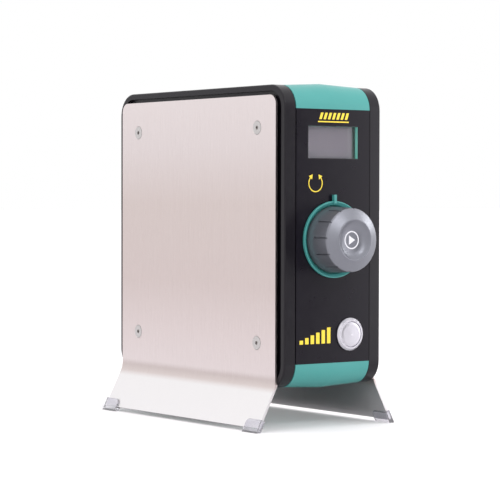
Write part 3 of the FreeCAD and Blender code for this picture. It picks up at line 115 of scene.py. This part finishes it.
# Steel plates: edges in millimetres and degrees, tones of painted light as (height in millimetres, colour)
SHEET_EDGE_ROUND = 0.25
SHEET_EDGE_ANGLE = 50.0
SHEET_TOP = 222.5
# The tones are painted reflections that change with height, with painted shade along the bend
SHEET_PAINTED_LIGHT_TONES = (
    (0.0, (0.79, 0.775, 0.785)),
    (25.5, (0.78, 0.765, 0.77)),
    (29.0, (0.62, 0.545, 0.53)),
    (33.5, (0.615, 0.535, 0.52)),
    (37.0, (0.78, 0.70, 0.695)),
    (62.0, (0.745, 0.655, 0.645)),
    (95.0, (0.68, 0.585, 0.565)),
    (150.0, (0.685, 0.595, 0.57)),
    (190.0, (0.765, 0.69, 0.685)),
    (222.5, (0.80, 0.725, 0.72)),
)

# Sky: it brightens by SKY_GAIN while the height of a unit direction goes from SKY_LOW to SKY_HIGH
SKY_GAIN = 1.25
SKY_LOW = 0.05
SKY_HIGH = 0.5

# Floor: half its width in metres. The light that it gives off for the camera only is listed as (millimetres
# beyond the object, strength); its dip just beyond the object is a painted shadow and its rise under the
# object is painted light.
FLOOR_HALF = 20.0
FLOOR_LIFT_START = -60.0
FLOOR_LIFT_END = 300.0
# Painted shadow close around the object, painted light under it
FLOOR_GLOW_AND_PAINTED_SHADOW = ((-60.0, 0.25), (0.0, 0.2), (30.0, 0.17), (150.0, 0.24), (300.0, 0.28))

# Studio lights: name, place, aim, width, height (metres), watts, colour
AIM = (0.0, 0.0, 0.12)
WHITE = (1.0, 1.0, 1.0)
LIGHTS = (
    ("top_light", (-0.3, -0.2, 1.9), AIM, 1.2, 1.2, 4.0, WHITE),
    ("front_light", (0.04, -1.26, 0.92), AIM, 0.22, 0.22, 3.0, WHITE),
    ("right_light", (0.57, -0.49, 0.15), (0.57, 0.0, 0.15), 0.44, 0.5, 1.3, (0.98, 0.96, 1.0)),
    ("rim_light", (1.4, -0.3, 0.6), AIM, 0.4, 0.4, 4.0, WHITE),
)

# Black card in front of the unit and to its right, in metres: X from and to, Y, height
CARD_X = (0.08, 0.335)
CARD_Y = -0.49
CARD_HEIGHT = 0.42

# Colours used by more than one material
TEAL = (0.055, 0.305, 0.285)
PANEL_DARK = (0.006, 0.0045, 0.0088)


# ---------------------------------------------------------------- materials

class Look:
    """A node material under construction, with its noise laid out in millimetres of the row frame."""

    def __init__(self, name, color, roughness, metallic=0.0, specular=0.5):
        self.material = bpy.data.materials.new(name)
        self.material.use_nodes = True
        self.tree = self.material.node_tree
        self.shader = self.tree.nodes["Principled BSDF"]
        self.shader.inputs["Base Color"].default_value = (*color, 1.0)
        self.shader.inputs["Roughness"].default_value = roughness
        self.shader.inputs["Metallic"].default_value = metallic
        self.shader.inputs["Specular IOR Level"].default_value = specular
        self.color = color
        self.roughness = roughness
        self.coordinates = self.tree.nodes.new("ShaderNodeTexCoord")

    def link(self, source, target):
        self.tree.links.new(source, target)

    def add(self, kind, **settings):
        node = self.tree.nodes.new(kind)
        for name, value in settings.items():
            setattr(node, name, value)
        return node

    def noise(self, size_mm, detail=3.0, stretch=(1.0, 1.0, 1.0)):
        """Noise whose features are about size_mm, longer along an axis by its stretch."""
        mapping = self.add("ShaderNodeMapping")
        mapping.inputs["Scale"].default_value = [1.0 / (size_mm * MM * s) for s in stretch]
        self.link(self.coordinates.outputs["Object"], mapping.inputs["Vector"])
        noise = self.add("ShaderNodeTexNoise")
        noise.inputs["Scale"].default_value = 1.0
        noise.inputs["Detail"].default_value = detail
        self.link(mapping.outputs["Vector"], noise.inputs["Vector"])
        return noise.outputs["Fac"]

    def spread(self, value, low, high, from_low=0.3, from_high=0.7):
        """Maps a value between from_low and from_high onto low to high."""
        ramp = self.add("ShaderNodeMapRange")
        ramp.inputs["From Min"].default_value = from_low
        ramp.inputs["From Max"].default_value = from_high
        ramp.inputs["To Min"].default_value = low
        ramp.inputs["To Max"].default_value = high
        self.link(value, ramp.inputs["Value"])
        return ramp.outputs["Result"]

    def ramp(self, value, stops):
        """Colour ramp through (position, colour) stops."""
        node = self.add("ShaderNodeValToRGB")
        while len(node.color_ramp.elements) < len(stops):
            node.color_ramp.elements.new(0.5)
        for element, (position, color) in zip(node.color_ramp.elements, stops):
            element.position = position
            element.color = (*color, 1.0)
        self.link(value, node.inputs["Fac"])
        return node.outputs["Color"]

    def parts(self, vector):
        """The X, Y and Z of a vector."""
        split = self.add("ShaderNodeSeparateXYZ")
        self.link(vector, split.inputs["Vector"])
        return split.outputs

    def compute(self, operation, first, second=None):
        """The result of a math node whose inputs are sockets or numbers."""
        node = self.add("ShaderNodeMath", operation=operation)
        for source, target in zip((first, second), node.inputs):
            if isinstance(source, (int, float)):
                target.default_value = source
            elif source is not None:
                self.link(source, target)
        return node.outputs["Value"]

    def tint(self, value, other):
        """Colour between the base colour and another, by a 0 to 1 value. Returns the colour socket."""
        mix = self.add("ShaderNodeMix", data_type="RGBA")
        self.link(value, mix.inputs["Factor"])
        current = self.shader.inputs["Base Color"]
        if current.is_linked:
            self.link(current.links[0].from_socket, mix.inputs["A"])
        else:
            mix.inputs["A"].default_value = (*self.color, 1.0)
        mix.inputs["B"].default_value = (*other, 1.0)
        self.link(mix.outputs["Result"], current)
        return mix.outputs["Result"]

    def vary_roughness(self, value, amount):
        self.link(self.spread(value, self.roughness - amount, self.roughness + amount),
                  self.shader.inputs["Roughness"])

    def bump(self, value, depth_mm, strength=1.0):
        """Adds relief of a given depth on top of any relief already there."""
        bump = self.add("ShaderNodeBump")
        bump.inputs["Strength"].default_value = strength
        bump.inputs["Distance"].default_value = depth_mm * MM
        self.link(value, bump.inputs["Height"])
        normal = self.shader.inputs["Normal"]
        if normal.is_linked:
            self.link(normal.links[0].from_socket, bump.inputs["Normal"])
        self.link(bump.outputs["Normal"], normal)

    def place(self):
        """The X, Y and Z of the surface, in metres of the row frame."""
        return self.parts(self.coordinates.outputs["Object"])

    def vector(self, operation, source):
        """A vector math node fed by one vector."""
        node = self.add("ShaderNodeVectorMath", operation=operation)
        self.link(source, node.inputs[0])
        return node


def moulded(name, color, roughness, grain_mm, grain_depth, fleck, specular=0.5):
    """Moulded plastic: fine grain, slightly uneven gloss, and a faint drift of colour."""
    look = Look(name, color, roughness, specular=specular)
    look.tint(look.spread(look.noise(28.0), 0.0, 1.0), fleck)
    look.vary_roughness(look.noise(6.0, 5.0), 0.03)
    look.bump(look.noise(grain_mm, 2.0), grain_depth)
    return look


def brushed_sheet_with_painted_light():
    """Stainless sheet with a vertical brushed grain, and painted reflections as a tone set by height, with
    painted shade along the bend.
    """
    look = Look("steel_sheet", SHEET_PAINTED_LIGHT_TONES[0][1], 0.33, metallic=1.0)
    # Painted light: the tone by height stands for reflections, darker where the bend is shaded
    rise = look.spread(look.place()["Z"], 0.0, 1.0, 0.0, SHEET_TOP * MM)
    stops = [(height / SHEET_TOP, tone) for height, tone in SHEET_PAINTED_LIGHT_TONES]
    look.link(look.ramp(rise, stops), look.shader.inputs["Base Color"])
    fine = look.noise(0.22, 4.0, (1.0, 1.0, 90.0))
    broad = look.noise(2.2, 3.0, (1.0, 1.0, 40.0))
    look.tint(look.spread(fine, 0.0, 0.12), (0.45, 0.39, 0.38))
    look.tint(look.spread(broad, 0.0, 0.05), (0.90, 0.86, 0.85))
    look.vary_roughness(fine, 0.07)
    look.bump(fine, 0.004)
    return look


def satin_steel(name, color, roughness):
    """Satin steel with a fine grain that is the same in every direction."""
    look = Look(name, color, roughness, metallic=1.0)
    look.tint(look.spread(look.noise(0.35, 4.0), 0.0, 0.4), [c * 0.92 for c in color])
    look.vary_roughness(look.noise(0.9, 4.0), 0.05)
    look.bump(look.noise(0.18, 3.0), 0.001)
    return look


def spun_knob():
    """Grey lacquered knob with fine rings around its axis."""
    look = Look("knob_plastic", (0.20, 0.205, 0.235), 0.36, metallic=0.55)
    look.shader.inputs["Anisotropic"].default_value = 0.6
    grain = look.add("ShaderNodeTangent", direction_type="RADIAL", axis="Y")
    look.link(grain.outputs["Tangent"], look.shader.inputs["Tangent"])
    middle = [(a + b) / 2 for a, b in zip(*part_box("knob"))]
    shift = look.vector("SUBTRACT", look.coordinates.outputs["Object"])
    shift.inputs[1].default_value = (middle[0], 0.0, middle[2])
    from_axis = look.parts(shift.outputs["Vector"])
    flat = look.add("ShaderNodeCombineXYZ")
    look.link(from_axis["X"], flat.inputs["X"])
    look.link(from_axis["Z"], flat.inputs["Y"])
    radius = look.vector("LENGTH", flat.outputs["Vector"])
    ring_place = look.add("ShaderNodeCombineXYZ")
    look.link(radius.outputs["Value"], ring_place.inputs["X"])
    look.link(from_axis["Y"], ring_place.inputs["Y"])
    rings = look.add("ShaderNodeTexNoise")
    rings.inputs["Scale"].default_value = 1.0 / (KNOB_RING_PITCH * MM)
    rings.inputs["Detail"].default_value = 3.0
    look.link(ring_place.outputs["Vector"], rings.inputs["Vector"])
    look.tint(look.spread(rings.outputs["Fac"], 0.0, 0.5), (0.235, 0.242, 0.275))
    look.vary_roughness(rings.outputs["Fac"], 0.05)
    look.bump(rings.outputs["Fac"], 0.012)
    look.bump(look.noise(0.25, 2.0), 0.004)
    return look


def clear_plastic():
    """Soft clear plastic, faintly violet, slightly clouded."""
    look = Look("bumper_clear", (0.97, 0.965, 1.0), 0.06)
    look.shader.inputs["Transmission Weight"].default_value = 0.82
    look.shader.inputs["IOR"].default_value = 1.45
    look.vary_roughness(look.noise(2.0), 0.04)
    look.tint(look.spread(look.noise(5.0), 0.0, 0.6), (0.90, 0.89, 0.97))
    look.bump(look.noise(1.2, 2.0), 0.01)
    return look


def clear_window():
    """The display's clear cover."""
    look = Look("window_clear", (1.0, 1.0, 1.0), 0.03)
    look.shader.inputs["Transmission Weight"].default_value = 1.0
    look.shader.inputs["IOR"].default_value = 1.46
    look.vary_roughness(look.noise(9.0), 0.02)
    return look


def liquid_crystal():
    """Switched-off display: warm grey field with the faint grid of its cells."""
    look = Look("lcd", (0.27, 0.243, 0.29), 0.42)
    scale = look.vector("SCALE", look.coordinates.outputs["Object"])
    scale.inputs["Scale"].default_value = 1.0 / (LCD_CELL * MM)
    fraction = look.vector("FRACTION", scale.outputs["Vector"])
    cell = look.parts(fraction.outputs["Vector"])
    across = look.spread(cell["X"], 0.0, 1.0, 0.86, 0.94)
    up = look.spread(cell["Z"], 0.0, 1.0, 0.86, 0.94)
    lines = look.compute("MAXIMUM", across, up)
    look.tint(look.compute("MULTIPLY", lines, 0.35), (0.235, 0.21, 0.25))
    look.tint(look.spread(look.noise(16.0), 0.0, 0.5), (0.295, 0.265, 0.315))
    from_middle = look.compute("ABSOLUTE", look.place()["X"])
    look.tint(look.compute("GREATER_THAN", from_middle, LCD_FIELD_HALF_WIDTH * MM), (0.15, 0.17, 0.165))
    return look


def display_bezel():
    """Teal liner whose front edge is printed dark like the panel around it."""
    look = moulded("display_bezel", (0.20, 0.58, 0.50), 0.38, 0.4, 0.012, (0.22, 0.60, 0.52))
    facing = look.parts(look.add("ShaderNodeNewGeometry").outputs["True Normal"])
    look.tint(look.spread(facing["Y"], 1.0, 0.0, -0.7, -0.3), PANEL_DARK)
    return look


def circuit_board():
    """Green solder mask with a faint pattern of tracks."""
    look = Look("board", (0.02, 0.16, 0.06), 0.35)
    tracks = look.add("ShaderNodeTexVoronoi", feature="DISTANCE_TO_EDGE", distance="MANHATTAN")
    tracks.inputs["Scale"].default_value = 1.0 / (BOARD_TRACK_PITCH * MM)
    look.link(look.coordinates.outputs["Object"], tracks.inputs["Vector"])
    look.tint(look.spread(tracks.outputs["Distance"], 1.0, 0.0, 0.02, 0.06), (0.05, 0.27, 0.10))
    look.bump(look.spread(tracks.outputs["Distance"], 1.0, 0.0, 0.02, 0.06), 0.03)
    return look


def metal(name, color, roughness, tone=0.85):
    """Plain machined or plated metal with fine scratches and uneven gloss."""
    look = Look(name, color, roughness, metallic=1.0)
    look.tint(look.spread(look.noise(1.4, 4.0), 0.0, 0.6), [c * tone for c in color])
    look.vary_roughness(look.noise(0.6, 4.0), 0.07)
    look.bump(look.noise(0.15, 3.0), 0.002)
    return look


def ink(name, color, roughness=0.45):
    """Printed ink with a slightly mottled layer."""
    look = Look(name, color, roughness)
    look.tint(look.spread(look.noise(0.8, 3.0), 0.0, 0.5), [c * 0.9 for c in color])
    look.bump(look.noise(0.2, 2.0), 0.004)
    return look


LOOKS = {
    "frame_plastic": moulded("frame_plastic", (0.007, 0.0058, 0.009), 0.32, 0.4, 0.004,
                             (0.0085, 0.0068, 0.0105), 0.3),
    "steel_sheet": brushed_sheet_with_painted_light(),
    "screw_steel": metal("screw_steel", (0.62, 0.60, 0.59), 0.3),
    "bumper_clear": clear_plastic(),
    "teal_plastic": moulded("teal_plastic", TEAL, 0.38, 0.4, 0.008, (0.06, 0.32, 0.30)),
    "panel_plastic": moulded("panel_plastic", PANEL_DARK, 0.3, 0.4, 0.002, (0.0068, 0.0052, 0.0098), 0.24),
    "window_clear": clear_window(),
    "lcd": liquid_crystal(),
    "board": circuit_board(),
    "black_plastic": moulded("black_plastic", (0.02, 0.02, 0.021), 0.45, 0.5, 0.02, (0.027, 0.027, 0.028)),
    "knob_plastic": spun_knob(),
    "shaft_steel": metal("shaft_steel", (0.66, 0.65, 0.64), 0.25),
    "button_steel": satin_steel("button_steel", (0.65, 0.637, 0.685), 0.40),
    "gasket_rubber": moulded("gasket_rubber", (0.018, 0.018, 0.018), 0.7, 0.3, 0.02, (0.026, 0.026, 0.026)),
    "brass": metal("brass", (0.74, 0.55, 0.24), 0.28),
    "aluminium": metal("aluminium", (0.73, 0.73, 0.75), 0.35),
    "lead_insulation": moulded("lead_insulation", (0.02, 0.02, 0.021), 0.5, 0.6, 0.01, (0.03, 0.03, 0.03)),
}


def dress(obj, look):
    """Gives an object one material."""
    obj.data.materials.clear()
    obj.data.materials.append(look.material)


def dress_nodes():
    """Gives every CAD node the material of its slot in the record."""
    for entry in frame["record"]["subparts"]:
        dress(frame["nodes"][entry["node"]], LOOKS[entry["material_slot"]])
    dress(frame["nodes"]["display_bezel"], display_bezel())


def round_sheet_edges():
    """Deburred edges on the steel plates."""
    for name in ("left_side_plate", "right_side_plate"):
        edge = frame["nodes"][name].modifiers.new("deburred", "BEVEL")
        edge.width = SHEET_EDGE_ROUND * MM
        edge.segments = 2
        edge.limit_method = "ANGLE"
        edge.angle_limit = math.radians(SHEET_EDGE_ANGLE)


# ---------------------------------------------------------------- printed marks

def new_piece(name, faces, look, body):
    """A mesh object from a list of faces, each a list of points in millimetres, on a CAD body."""
    work = bmesh.new()
    for points in faces:
        work.faces.new([work.verts.new(Vector(point) * MM) for point in points])
    bmesh.ops.remove_doubles(work, verts=work.verts, dist=MERGE_DISTANCE * MM)
    bmesh.ops.recalc_face_normals(work, faces=work.faces)
    mesh = bpy.data.meshes.new(name)
    work.to_mesh(mesh)
    work.free()
    obj = bpy.data.objects.new(name, mesh)
    bpy.context.scene.collection.objects.link(obj)
    dress(obj, look)
    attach(obj, body)
    return obj


def layer(outline, surface):
    """Faces of a thin ink layer over a convex (x, z) outline. surface(x, z) gives the ground's Y."""
    front = [(x, surface(x, z) - INK_THICKNESS, z) for x, z in outline]
    back = [(x, surface(x, z), z) for x, z in outline]
    faces = [front, back[::-1]]
    for index in range(len(outline)):
        after = (index + 1) % len(outline)
        faces.append([front[index], back[index], back[after], front[after]])
    return faces


def arc_outlines(centre, radius, line, start, end):
    """Quads along an arc band; angles in degrees, counted from +X towards +Z."""
    outlines = []
    for index in range(ARC_STEPS):
        a = math.radians(start + (end - start) * index / ARC_STEPS)
        b = math.radians(start + (end - start) * (index + 1) / ARC_STEPS)
        inner = radius - line / 2
        outer = radius + line / 2
        outlines.append([
            (centre[0] + inner * math.cos(a), centre[1] + inner * math.sin(a)),
            (centre[0] + outer * math.cos(a), centre[1] + outer * math.sin(a)),
            (centre[0] + outer * math.cos(b), centre[1] + outer * math.sin(b)),
            (centre[0] + inner * math.cos(b), centre[1] + inner * math.sin(b)),
        ])
    return outlines


def arrow_outline(sign):
    """Arrowhead at one end of the direction symbol's arc, pointing up along the circle."""
    angle = math.radians(90 - sign * SYMBOL_OPENING)
    out = Vector((math.cos(angle), math.sin(angle)))
    along = Vector((-sign * math.sin(angle), sign * math.cos(angle)))
    base = Vector(SYMBOL_CENTRE) + out * SYMBOL_RADIUS
    return [tuple(base + out * ARROW_HALF_WIDTH), tuple(base + along * ARROW_LENGTH),
            tuple(base - out * ARROW_HALF_WIDTH)]


def bar(x0, x1, z0, z1, lean=0.0):
    """Corners of an upright or leaning bar."""
    return [(x0, z0), (x1, z0), (x1 + lean, z1), (x0 + lean, z1)]


def panel_marks():
    """Direction symbol, a striped strip above the display, and rising level bars."""
    face_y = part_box("front_panel")[0][1] / MM

    def flat(x, z):
        return face_y

    symbol = arc_outlines(SYMBOL_CENTRE, SYMBOL_RADIUS, SYMBOL_LINE,
                          90 + SYMBOL_OPENING, 450 - SYMBOL_OPENING)
    symbol += [arrow_outline(-1), arrow_outline(1)]
    strip = [bar(*UNDERLINE)]
    for index in range(STRIPE_COUNT):
        x = STRIPE_LOW[0] + index * STRIPE_PITCH
        strip.append(bar(x, x + STRIPE_WIDTH, STRIPE_LOW[1], STRIPE_LOW[1] + STRIPE_HEIGHT, STRIPE_LEAN))
    levels = []
    for index in range(LEVEL_COUNT):
        x = LEVEL_LOW[0] + index * LEVEL_PITCH
        levels.append(bar(x, x + LEVEL_WIDTH, LEVEL_LOW[1], LEVEL_LOW[1] + LEVEL_FIRST + index * LEVEL_STEP))
    yellow = ink("yellow_ink", (0.93, 0.70, 0.045))
    for name, outlines in (("direction_mark", symbol), ("stripe_mark", strip), ("level_mark", levels)):
        faces = []
        for outline in outlines:
            faces += layer(outline, flat)
        new_piece(name, faces, yellow, "housing")


def triangle_strips(x, z):
    """The start triangle as upright strips, so that it follows a curved ground."""
    strips = []
    for index in range(PLAY_TRIANGLE_STRIPS):
        near = index / PLAY_TRIANGLE_STRIPS
        far = (index + 1) / PLAY_TRIANGLE_STRIPS
        length = PLAY_TRIANGLE_TIP - PLAY_TRIANGLE_BACK
        x_near = x + PLAY_TRIANGLE_BACK + length * near
        x_far = x + PLAY_TRIANGLE_BACK + length * far
        half_near = PLAY_TRIANGLE_HALF * (1 - near)
        half_far = PLAY_TRIANGLE_HALF * (1 - far)
        if index < PLAY_TRIANGLE_STRIPS - 1:
            strips.append([(x_near, z - half_near), (x_far, z - half_far),
                           (x_far, z + half_far), (x_near, z + half_near)])
        else:
            strips.append([(x_near, z - half_near), (x_far, z), (x_near, z + half_near)])
    return strips


def play_mark():
    """Start symbol printed in the knob's finger dish, laid on the dish's surface."""
    knob = frame["nodes"]["knob"]
    tree = BVHTree.FromObject(knob, bpy.context.evaluated_depsgraph_get())
    low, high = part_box("knob")
    centre = ((low[0] + high[0]) / 2 / MM, (low[2] + high[2]) / 2 / MM)

    def ground(x, z):
        hit = tree.ray_cast(Vector((x * MM, low[1] - RAY_LEAD * MM, z * MM)), Vector((0, 1, 0)))
        return hit[0].y / MM

    outlines = arc_outlines(centre, PLAY_RING_RADIUS, PLAY_RING_LINE, 0, 360)
    outlines += triangle_strips(*centre)
    faces = []
    for outline in outlines:
        faces += layer(outline, ground)
    new_piece("play_mark", faces, ink("white_ink", (0.80, 0.80, 0.84)), "knob")


# ---------------------------------------------------------------- return spring

def button_spring():
    """Return spring of the power button, as its own copy of the CAD spring on the housing."""
    node = frame["nodes"]["power_button_spring"]
    spring = bpy.data.objects.new("power_button_coil", node.data.copy())
    bpy.context.scene.collection.objects.link(spring)
    entry = next(e for e in frame["record"]["subparts"] if e["node"] == "power_button_spring")
    dress(spring, LOOKS[entry["material_slot"]])
    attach(spring, "housing")
    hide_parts("power_button_spring")
    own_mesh(spring)


# ---------------------------------------------------------------- studio

def outside_footprint(look):
    """Metres beyond the centred rectangle that reaches the object's far corner, negative inside it."""
    place = look.place()
    past = [look.compute("SUBTRACT", look.compute("ABSOLUTE", place[axis]), half)
            for axis, half in (("X", cad_box[1][0]), ("Y", cad_box[1][1]))]
    return look.compute("MAXIMUM", *past)


def quad(name, corners):
    """A flat four-cornered object from its corners in metres."""
    mesh = bpy.data.meshes.new(name)
    mesh.from_pydata(corners, [], [(0, 1, 2, 3)])
    obj = bpy.data.objects.new(name, mesh)
    bpy.context.scene.collection.objects.link(obj)
    return obj


def floor():
    """Pale floor that gives off light for the camera only, with a painted shadow close around the object and
    painted light under it.
    """
    half = FLOOR_HALF
    obj = quad("floor", [(-half, -half, 0), (half, -half, 0), (half, half, 0), (-half, half, 0)])
    look = Look("floor", (0.745, 0.73, 0.745), 0.9, specular=0.1)
    look.shader.inputs["Emission Color"].default_value = (*WHITE, 1.0)
    span = FLOOR_LIFT_END - FLOOR_LIFT_START
    stops = [((distance - FLOOR_LIFT_START) / span, (strength,) * 3) for distance, strength in FLOOR_GLOW_AND_PAINTED_SHADOW]
    outside = look.spread(outside_footprint(look), 0.0, 1.0, FLOOR_LIFT_START * MM, FLOOR_LIFT_END * MM)
    rays = look.add("ShaderNodeLightPath")
    # The glow is less just beyond the object as a painted shadow, and more beneath it as painted light
    seen = look.compute("MULTIPLY", rays.outputs["Is Camera Ray"], look.ramp(outside, stops))
    look.link(seen, look.shader.inputs["Emission Strength"])
    dress(obj, look)


def dark_card():
    """A black upright card that is seen only in reflections."""
    x0, x1 = CARD_X
    corners = [(x0, CARD_Y, 0), (x1, CARD_Y, 0), (x1, CARD_Y, CARD_HEIGHT), (x0, CARD_Y, CARD_HEIGHT)]
    obj = quad("front_card", corners)
    obj.visible_camera = False
    obj.visible_diffuse = False
    obj.visible_shadow = False
    obj.visible_transmission = False
    dress(obj, Look("front_card", (0.01, 0.01, 0.01), 0.9, specular=0.1))


def soft_light(name, place, target, width, height, power, color):
    """A rectangular studio light aimed at a point."""
    data = bpy.data.lights.new(name, "AREA")
    data.shape = "RECTANGLE"
    data.size = width
    data.size_y = height
    data.energy = power
    data.color = color
    obj = bpy.data.objects.new(name, data)
    obj.location = place
    obj.rotation_euler = (Vector(target) - Vector(place)).to_track_quat("-Z", "Y").to_euler()
    obj.visible_camera = False
    bpy.context.scene.collection.objects.link(obj)


def surroundings():
    """Pale surroundings that brighten upwards, seen as plain white by the camera."""
    world = bpy.data.worlds.new("studio")
    world.use_nodes = True
    tree = world.node_tree
    ground = tree.nodes["Background"]
    ground.inputs["Color"].default_value = (1.0, 0.995, 1.0, 1.0)
    direction = tree.nodes.new("ShaderNodeTexCoord")
    split = tree.nodes.new("ShaderNodeSeparateXYZ")
    tree.links.new(direction.outputs["Generated"], split.inputs["Vector"])
    sky = tree.nodes.new("ShaderNodeMapRange")
    for name, value in (("From Min", SKY_LOW), ("From Max", SKY_HIGH), ("To Min", 1.0), ("To Max", SKY_GAIN)):
        sky.inputs[name].default_value = value
    tree.links.new(split.outputs["Z"], sky.inputs["Value"])
    tree.links.new(sky.outputs["Result"], ground.inputs["Strength"])
    seen = tree.nodes.new("ShaderNodeBackground")
    seen.inputs["Color"].default_value = (*WHITE, 1.0)
    seen.inputs["Strength"].default_value = 1.0
    rays = tree.nodes.new("ShaderNodeLightPath")
    mix = tree.nodes.new("ShaderNodeMixShader")
    tree.links.new(rays.outputs["Is Camera Ray"], mix.inputs["Fac"])
    tree.links.new(ground.outputs["Background"], mix.inputs[1])
    tree.links.new(seen.outputs["Background"], mix.inputs[2])
    tree.links.new(mix.outputs["Shader"], tree.nodes["World Output"].inputs["Surface"])
    bpy.context.scene.world = world


def camera():
    """Camera at the photograph's standpoint."""
    azimuth = math.radians(CAMERA_AZIMUTH)
    elevation = math.radians(CAMERA_ELEVATION)
    roll = math.radians(CAMERA_ROLL)
    back = Vector((math.sin(azimuth) * math.cos(elevation), -math.cos(azimuth) * math.cos(elevation),
                   math.sin(elevation)))
    level = Vector((0, 0, 1)).cross(back).normalized()
    up = back.cross(level)
    right = level * math.cos(roll) + up * math.sin(roll)
    top = up * math.cos(roll) - level * math.sin(roll)
    data = bpy.data.cameras.new("camera")
    data.lens = CAMERA_LENS
    data.sensor_width = 36.0
    data.clip_end = 100.0
    obj = bpy.data.objects.new("camera", data)
    bpy.context.scene.collection.objects.link(obj)
    turn = Matrix((right, top, back)).transposed().to_4x4()
    obj.matrix_world = Matrix.Translation(CAMERA_PLACE) @ turn
    bpy.context.scene.camera = obj


dress_nodes()
round_sheet_edges()
panel_marks()
play_mark()
button_spring()
floor()
surroundings()
for light in LIGHTS:
    soft_light(*light)
dark_card()
camera()
bpy.context.scene.view_settings.view_transform = "Standard"
bpy.context.scene.view_settings.look = "None"

bpy.context.view_layer.update()
